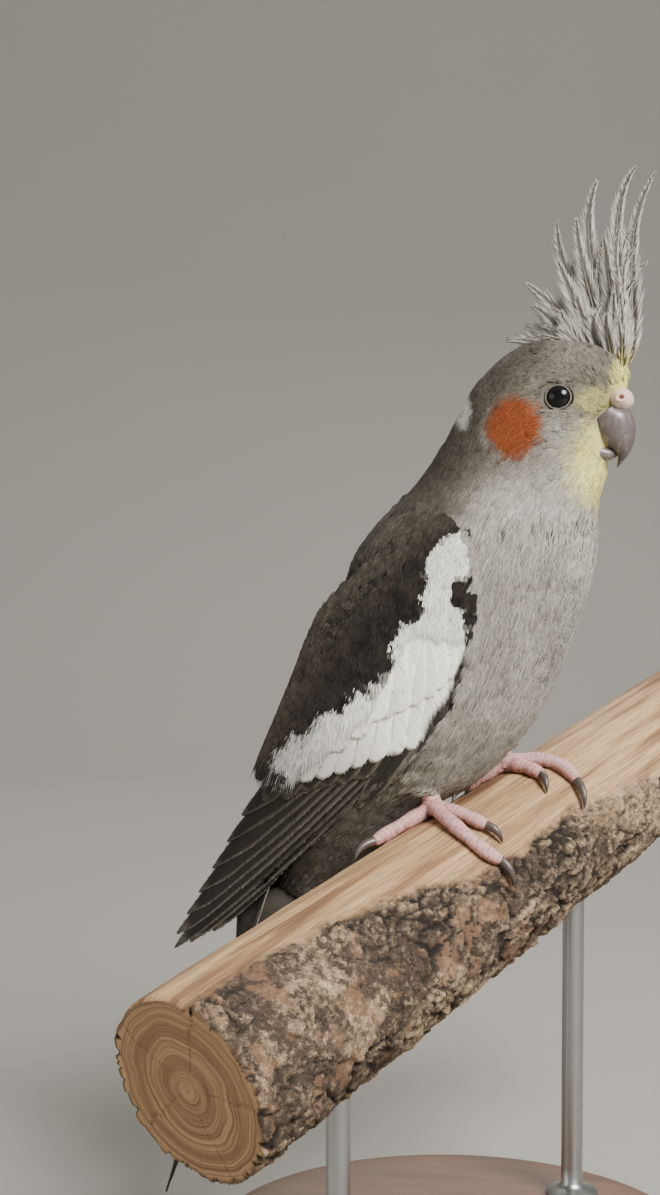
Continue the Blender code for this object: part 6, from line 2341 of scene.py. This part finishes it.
@dataclass
class Perch:
    """Cut branch with bare grained wood above and plated bark below."""

    along: int = 430
    around: int = 264
    cap_rings: int = 26
    feet: Feet = field(default_factory=Feet)
    warps: tuple[tuple[float, float, int], ...] = (
        (4.0, 0.08, 21), (1.3, 0.3, 23), (0.55, 0.9, 25), (0.25, 2.1, 29))
    plates: tuple[tuple[Pair, float, float, float, float, float, int], ...] = (
        ((18.0, 12.0), 0.8, 0.03, 1.9, 0.13, -0.5, 31),
        ((8.5, 5.6), 0.9, 0.09, 1.4, 0.15, -0.35, 61),
        ((4.0, 2.8), 0.5, 0.13, 0.7, 0.13, -0.1, 71))

    def relief(self, degrees: Array, place: Array) -> tuple[Array, Array, Array]:
        """Height over the smooth form, and the grain and bark numbers.

        Args:
            degrees: angles from the branch's top.
            place: places along it in millimetres.

        Returns:
            Heights, grain rows and bark rows.
        """
        arc = np.radians(degrees) * BRANCH.radius
        spot = packed(place, arc)
        warped = spot.copy()
        for reach, scale, seed in self.warps:
            warped += reach * packed(noise(spot * scale, seed), noise(spot * scale, seed + 1))
        ragged = 7.0 * noise(spot * 0.05, 43) + 3.5 * noise(spot * 0.2, 44)
        ragged += 2.0 * noise(spot * 0.8, 45)
        bark = BRANCH.bark(degrees, place, ragged)
        height = np.zeros(place.shape)
        crack_shade = np.zeros(place.shape)
        tone = 0.34 + 0.30 * noise(spot * 0.05, 46) + 0.22 * noise(spot * 0.9, 47)
        draws = np.zeros((*place.shape, 2))
        for size, lift, lean, deep, wide, share, seed in self.plates:
            grid = np.array(size)
            edge, centre, draws = cells(warped / grid, seed)
            away = (warped / grid - centre) * grid
            turn = draws[..., 1] * math.tau
            slope = away[..., 0] * np.cos(turn) + away[..., 1] * np.sin(turn)
            width = wide * np.clip(0.55 + 1.3 * noise(spot / (grid[0] * 1.6), seed + 5), 0.0, 1.6)
            gap = step(edge, width + 0.03, width * 0.3) * step(width, 0.0, wide * 0.4)
            open_ = step(noise(spot / (grid[0] * 2.2), seed + 6), share - 0.2, share + 0.2)
            height += lift * (draws[..., 0] - 0.5) + lean * slope - deep * gap * open_
            # fissures darker the deeper they run: dark inner bark and painted shade
            crack_shade = np.maximum(crack_shade, gap * open_ * min(1.0, 0.2 + deep))
            tone += 0.42 * lift * (draws[..., 0] - 0.5)
        ridges = (np.abs(noise(spot * 0.55, 48)) * 0.22 + np.abs(noise(spot * 1.3, 49)) * 0.14
                  + noise(spot * 0.75 + warped * 0.4, 50) * 0.10)
        flake = step(draws[..., 1] + 0.45 * noise(spot * 0.1, 51), 0.86, 0.98) * (1 - crack_shade)
        rough = height - ridges + 0.2 - 0.3 * flake
        groove = 0.10 * noise(spot * np.array([0.05, 1.5]), 27)
        groove += 0.22 * noise(spot * np.array([0.02, 0.3]), 28)
        groove += 0.12 * noise(spot * np.array([0.08, 0.7]), 52)
        rim = np.exp(-((bark - 0.5) / 0.3) ** 2)
        height = np.clip(rough, -1.6, 1.1) * bark + groove * (1 - bark)
        tone = np.clip(tone, 0, 1)
        flake = np.clip(np.maximum(flake * 0.4, 0.3 * rim * (bark > 0.02)), 0, 1)
        grain = packed(place / 100, arc / 100, 0.0, 0.0)
        return height, grain, packed(bark, np.clip(crack_shade, 0, 1) * bark, tone, flake)

    def calm(self, points: Array) -> Array:
        """Share of the relief kept at points, less close to the toes."""
        lines = [self.feet.toe_line(plan, toe, 10) for plan in FEET for toe in plan.toes]
        nearest = np.full(len(points), 99.0)
        for spot in np.concatenate(lines):
            nearest = np.minimum(nearest, ((points - spot) ** 2).sum(axis=1))
        return step(np.sqrt(nearest), 2.5, 7.0)

    def build(self, finish: Material) -> None:
        """Build the branch."""
        low, high = BRANCH.ends
        places = np.linspace(low, high, self.along)
        degrees = np.arange(self.around) / self.around * 360.0
        a, d = np.meshgrid(places, degrees, indexing="ij")
        height, grain, bark = self.relief(np.where(d > 180, d - 360, d), a)
        smooth = BRANCH.point(d, a, 0.0).reshape(-1, 3)
        keep = self.calm(smooth).reshape(d.shape)
        ends = np.minimum(a - low, high - a)
        chip = 0.8 * step(ends, 1.6, 0.0)
        points = BRANCH.point(d, a, height * (0.25 + 0.75 * keep) - chip)
        wide = self.around
        all_points, all_quads = [points.reshape(-1, 3)], [round_quads(self.along, wide)]
        grains, barks, tris = [grain.reshape(-1, 4)], [bark.reshape(-1, 4)], []
        count = points.size // 3
        _, along, top, forward = BRANCH.frame()
        for row, sign in ((0, -1.0), (self.along - 1, 1.0)):
            rim = points[row]
            centre = rim.mean(axis=0)
            shares = np.linspace(1, 0, self.cap_rings + 2)[1:-1]
            caps = centre + (rim - centre)[None] * shares[:, None, None]
            reach = caps - centre
            up, side = reach @ top, reach @ forward
            rings = np.hypot(up, side)
            rays = np.arctan2(up, side) * 2.5 + 0.25 * noise(reach[..., :2] * 0.3, 61)
            check = step(np.abs(np.sin(rays)), 0.10, 0.0)
            dent = 0.25 * noise(packed(rings * 0.8, 0.0), 62) - 0.9 * check * shares[:, None]
            caps = caps + along * sign * (dent * step(shares, 1.0, 0.9)[:, None])[..., None]
            wobble = rings + 0.9 * noise(reach * 0.16, 63)
            cap_grain = packed(0.1 * up / np.maximum(rings, 1.0), wobble / 100, 0.0, 1.0)
            before = row * wide + np.arange(wide)
            for ring in range(self.cap_rings):
                now = count + ring * wide + np.arange(wide)
                strip = np.stack([before, np.roll(before, -1), np.roll(now, -1), now], -1)
                all_quads.append(strip if sign > 0 else strip[:, ::-1])
                before = now
            middle = count + self.cap_rings * wide
            fan = np.stack([before, np.roll(before, -1), np.full(wide, middle)], -1)
            tris.append(fan if sign > 0 else fan[:, ::-1])
            all_points += [caps.reshape(-1, 3), centre[None]]
            grains += [cap_grain.reshape(-1, 4), np.array([[0.0, 0.0, 0.0, 1.0]])]
            barks.append(np.zeros((up.size + 1, 4)))
            count += self.cap_rings * wide + 1
        flat = np.concatenate(all_points)
        quads, tris = outward(flat, np.concatenate(all_quads), np.concatenate(tris))
        surface = Surface()
        surface.add(flat, quads, tris, grain=np.concatenate(grains), bark=np.concatenate(barks))
        emit(surface.build("branch"), finish, "branch_wood", "perch")


@dataclass
class Stand:
    """Turned wooden base and the two steel rods that carry the branch."""

    radius: float = 80.0
    thickness: float = 12.0
    rod_radius: float = 3.5
    base_sides: int = 160
    rod_sides: int = 48
    rods: tuple[tuple[str, float], ...] = (("front", 60.0), ("back", -60.0))
    profile: Pairs = (
        (0.0, 0.0), (78.2, 0.0), (79.4, 0.5), (79.9, 1.8), (79.6, 3.0), (78.4, 4.0), (78.2, 4.7),
        (78.9, 5.4), (78.8, 7.2), (77.6, 9.2), (75.4, 10.8), (72.8, 11.7), (70.0, 12.0),
        (0.0, 12.0))

    def revolved(self, profile: Array, sides: int, centre: Array) -> tuple[Array, Array, Array]:
        """Closed form turned round an upright line: points and faces."""
        turns = turns_of(sides)
        rings = np.stack([profile[:, 0:1] * np.cos(turns), profile[:, 0:1] * np.sin(turns),
                          np.repeat(profile[:, 1:2], sides, axis=1)], -1) + centre
        ends = np.stack([[0, 0, profile[0, 1]], [0, 0, profile[-1, 1]]]) + centre
        points = np.concatenate([rings.reshape(-1, 3), ends])
        return points, *outward(points, *tube_faces(len(profile), sides))

    def build(self, wood: Material, steel: Material) -> None:
        """Build the base and both rods."""
        fine = []
        rows = np.array(self.profile)
        for (r0, z0), (r1, z1) in zip(rows[:-1], rows[1:]):
            parts = 10 if abs(r1 - r0) > 20 else 3
            shares = np.linspace(0, 1, parts, endpoint=False)[:, None]
            fine.append(np.array([r0, z0]) + (np.array([r1, z1]) - np.array([r0, z0])) * shares)
        profile = np.concatenate(fine)[1:]
        base = Surface()
        base.add(*self.revolved(profile, self.base_sides, np.zeros(3)))
        emit(base.build("base_wood", 0.0), wood, "base_wood", "stand_base")
        middle, along, _, _ = BRANCH.frame()
        for end, place in self.rods:
            foot = middle + along * place
            low = self.thickness - BIRD_HEIGHT + 0.05
            high = float(foot[2]) - 6.0
            centre = np.array([foot[0], foot[1], 0.0])
            r = self.rod_radius
            profile = np.array([
                (r + 4.5, low), (r + 5.0, low + 0.5), (r + 5.0, low + 1.6), (r + 4.4, low + 2.4),
                (r + 1.4, low + 2.9), (r + 0.6, low + 3.8), (r, low + 4.6), (r, low + 10.0),
                *[(r, z) for z in np.linspace(low + 20.0, high - 1.0, 12)], (r - 0.4, high)])
            rod = Surface()
            rod.add(*self.revolved(profile, self.rod_sides, centre))
            emit(rod.build("rod_" + end), steel, "rod_steel", "stand_rod_" + end)


@dataclass
class Studio:
    """Plain pale floor and backdrop, soft lights and the camera of the photograph."""

    camera_place: Triple = (0.12259, -0.60695, 0.24266)
    right: Triple = (0.9659, 0.2588, 0.0)
    up: Triple = (-0.01355, 0.05055, 0.99863)
    ahead: Triple = (-0.2585, 0.9646, -0.0523)
    lens: float = 60.55
    lights: tuple[tuple[str, Triple, float, float, float], ...] = (
        ("key", (0.85, -0.75, 1.05), 54.0, 0.7, 1.0),
        ("fill", (-1.15, -0.85, 0.35), 5.0, 1.1, 0.97),
        ("back", (-0.2, 1.1, 1.2), 10.0, 1.0, 1.0),
    )
    world: float = 0.4
    target: Triple = (0.0, 0.0, 0.2)
    cove: float = 0.7
    cove_start: float = 1.1
    wall_height: float = 2.6

    def build_ground(self, finish: Material) -> None:
        """Build the floor that curves up into a backdrop."""
        profile = [(-2.2, 0.0), (-0.6, 0.0), (0.6, 0.0), (self.cove_start, 0.0)]
        for k in range(1, 13):
            turn = k / 12 * math.pi / 2
            profile.append((self.cove_start + self.cove * math.sin(turn),
                            self.cove - self.cove * math.cos(turn)))
        profile.append((self.cove_start + self.cove, self.wall_height))
        rows = np.array(profile)
        ahead = unit(np.array([self.ahead[0], self.ahead[1]]))
        aside = np.array([ahead[1], -ahead[0]])
        wide = np.linspace(-2.6, 2.6, 9)
        flat = rows[:, None, 0:1] * ahead + wide[None, :, None] * aside
        high = np.broadcast_to(rows[:, None, 1], flat.shape[:2])
        points = np.concatenate([flat, high[..., None]], -1).reshape(-1, 3) / MM
        grid = np.arange(len(points)).reshape(len(rows), 9)
        quads = np.stack([grid[:-1, :-1], grid[:-1, 1:], grid[1:, 1:], grid[1:, :-1]], -1)
        ground = Surface()
        ground.add(points, quads.reshape(-1, 4)[:, ::-1])
        piece = ground.build("ground", 0.0)
        piece.data.materials.append(finish)
        piece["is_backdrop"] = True

    def build_lights(self) -> None:
        """Build the soft lights and the even pale surroundings."""
        scene = bpy.context.scene
        target = Vector(self.target)
        for name, place, power, size, warm in self.lights:
            lamp = bpy.data.lights.new(name, "AREA")
            lamp.shape = "DISK"
            lamp.size = size
            lamp.energy = power
            lamp.color = (1.0, 0.5 + 0.5 * warm, warm * warm)
            piece = placed(name, lamp)
            piece.location = place
            piece.rotation_euler = (target - Vector(place)).to_track_quat("-Z", "Y").to_euler()
        world = bpy.data.worlds.new("room")
        world.use_nodes = True
        surround = world.node_tree.nodes["Background"]
        surround.inputs["Color"].default_value = (1.0, 0.985, 0.96, 1.0)
        surround.inputs["Strength"].default_value = self.world
        scene.world = world

    def build_camera(self) -> None:
        """Build the camera that keeps the photograph's framing."""
        data = bpy.data.cameras.new("camera")
        data.sensor_width = 36.0
        data.sensor_fit = "AUTO"
        data.lens = self.lens
        data.clip_start = 0.01
        data.clip_end = 20.0
        camera = placed("camera", data)
        turn = Matrix((self.right, self.up, tuple(-c for c in self.ahead))).transposed()
        camera.matrix_world = Matrix.Translation(self.camera_place) @ turn.to_4x4()
        bpy.context.scene.camera = camera


def corners() -> list[list[float]]:
    """Lowest and highest corner of all that shows, as plain lists."""
    return [[float(c) for c in corner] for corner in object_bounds()]


def main() -> None:
    """Build every piece in order."""
    logging.basicConfig(level=logging.INFO, format="%(message)s")
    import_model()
    Effects.build()
    plumage = Plumage().make()
    wing_vanes = VaneFinish(name="wing_vanes").make()
    tail_vanes = VaneFinish(name="tail_vanes", dark=tint(72, 66, 57)).make()
    foot_skin = BareSkin(name="foot_skin").make()
    # the darker colours given for the folds' hollows here are painted shade
    cere_skin = BareSkin(name="cere_skin", base=tint(212, 190, 174), crease_shade=tint(120, 78, 62),
                         flush=tint(214, 158, 142), grain=700.0).make()
    lid_skin = BareSkin(name="lid_skin", base=tint(112, 106, 96), crease_shade=tint(52, 48, 44),
                        flush=tint(96, 88, 82)).make()
    bill_horn = Horn(name="bill_horn").make()
    claw_horn = Horn(name="claw_horn", base=tint(72, 62, 56), thin=tint(110, 96, 86),
                     deep=tint(44, 38, 35)).make()

    skin = Skin().build()
    emit(skin, plumage, "body_feather", "head", "neck", "torso", "thigh_left", "thigh_right")
    Coat(skin).build(plumage)
    Crest().build(plumage)
    Wing().build(wing_vanes)
    Down().build(plumage)
    Tail().build(tail_vanes)
    head = Head()
    head.build_eyes(EyeFinish().make(), lid_skin)
    head.build_bill(bill_horn)
    head.build_cere(cere_skin)
    feet = Feet()
    feet.build(foot_skin, claw_horn)
    Perch(feet=feet).build(BranchFinish().make())
    Stand().build(TurnedWood().make(), Steel().make())

    studio = Studio()
    studio.build_ground(Ground().make())
    studio.build_lights()
    studio.build_camera()


if __name__ == "__main__":
    main()
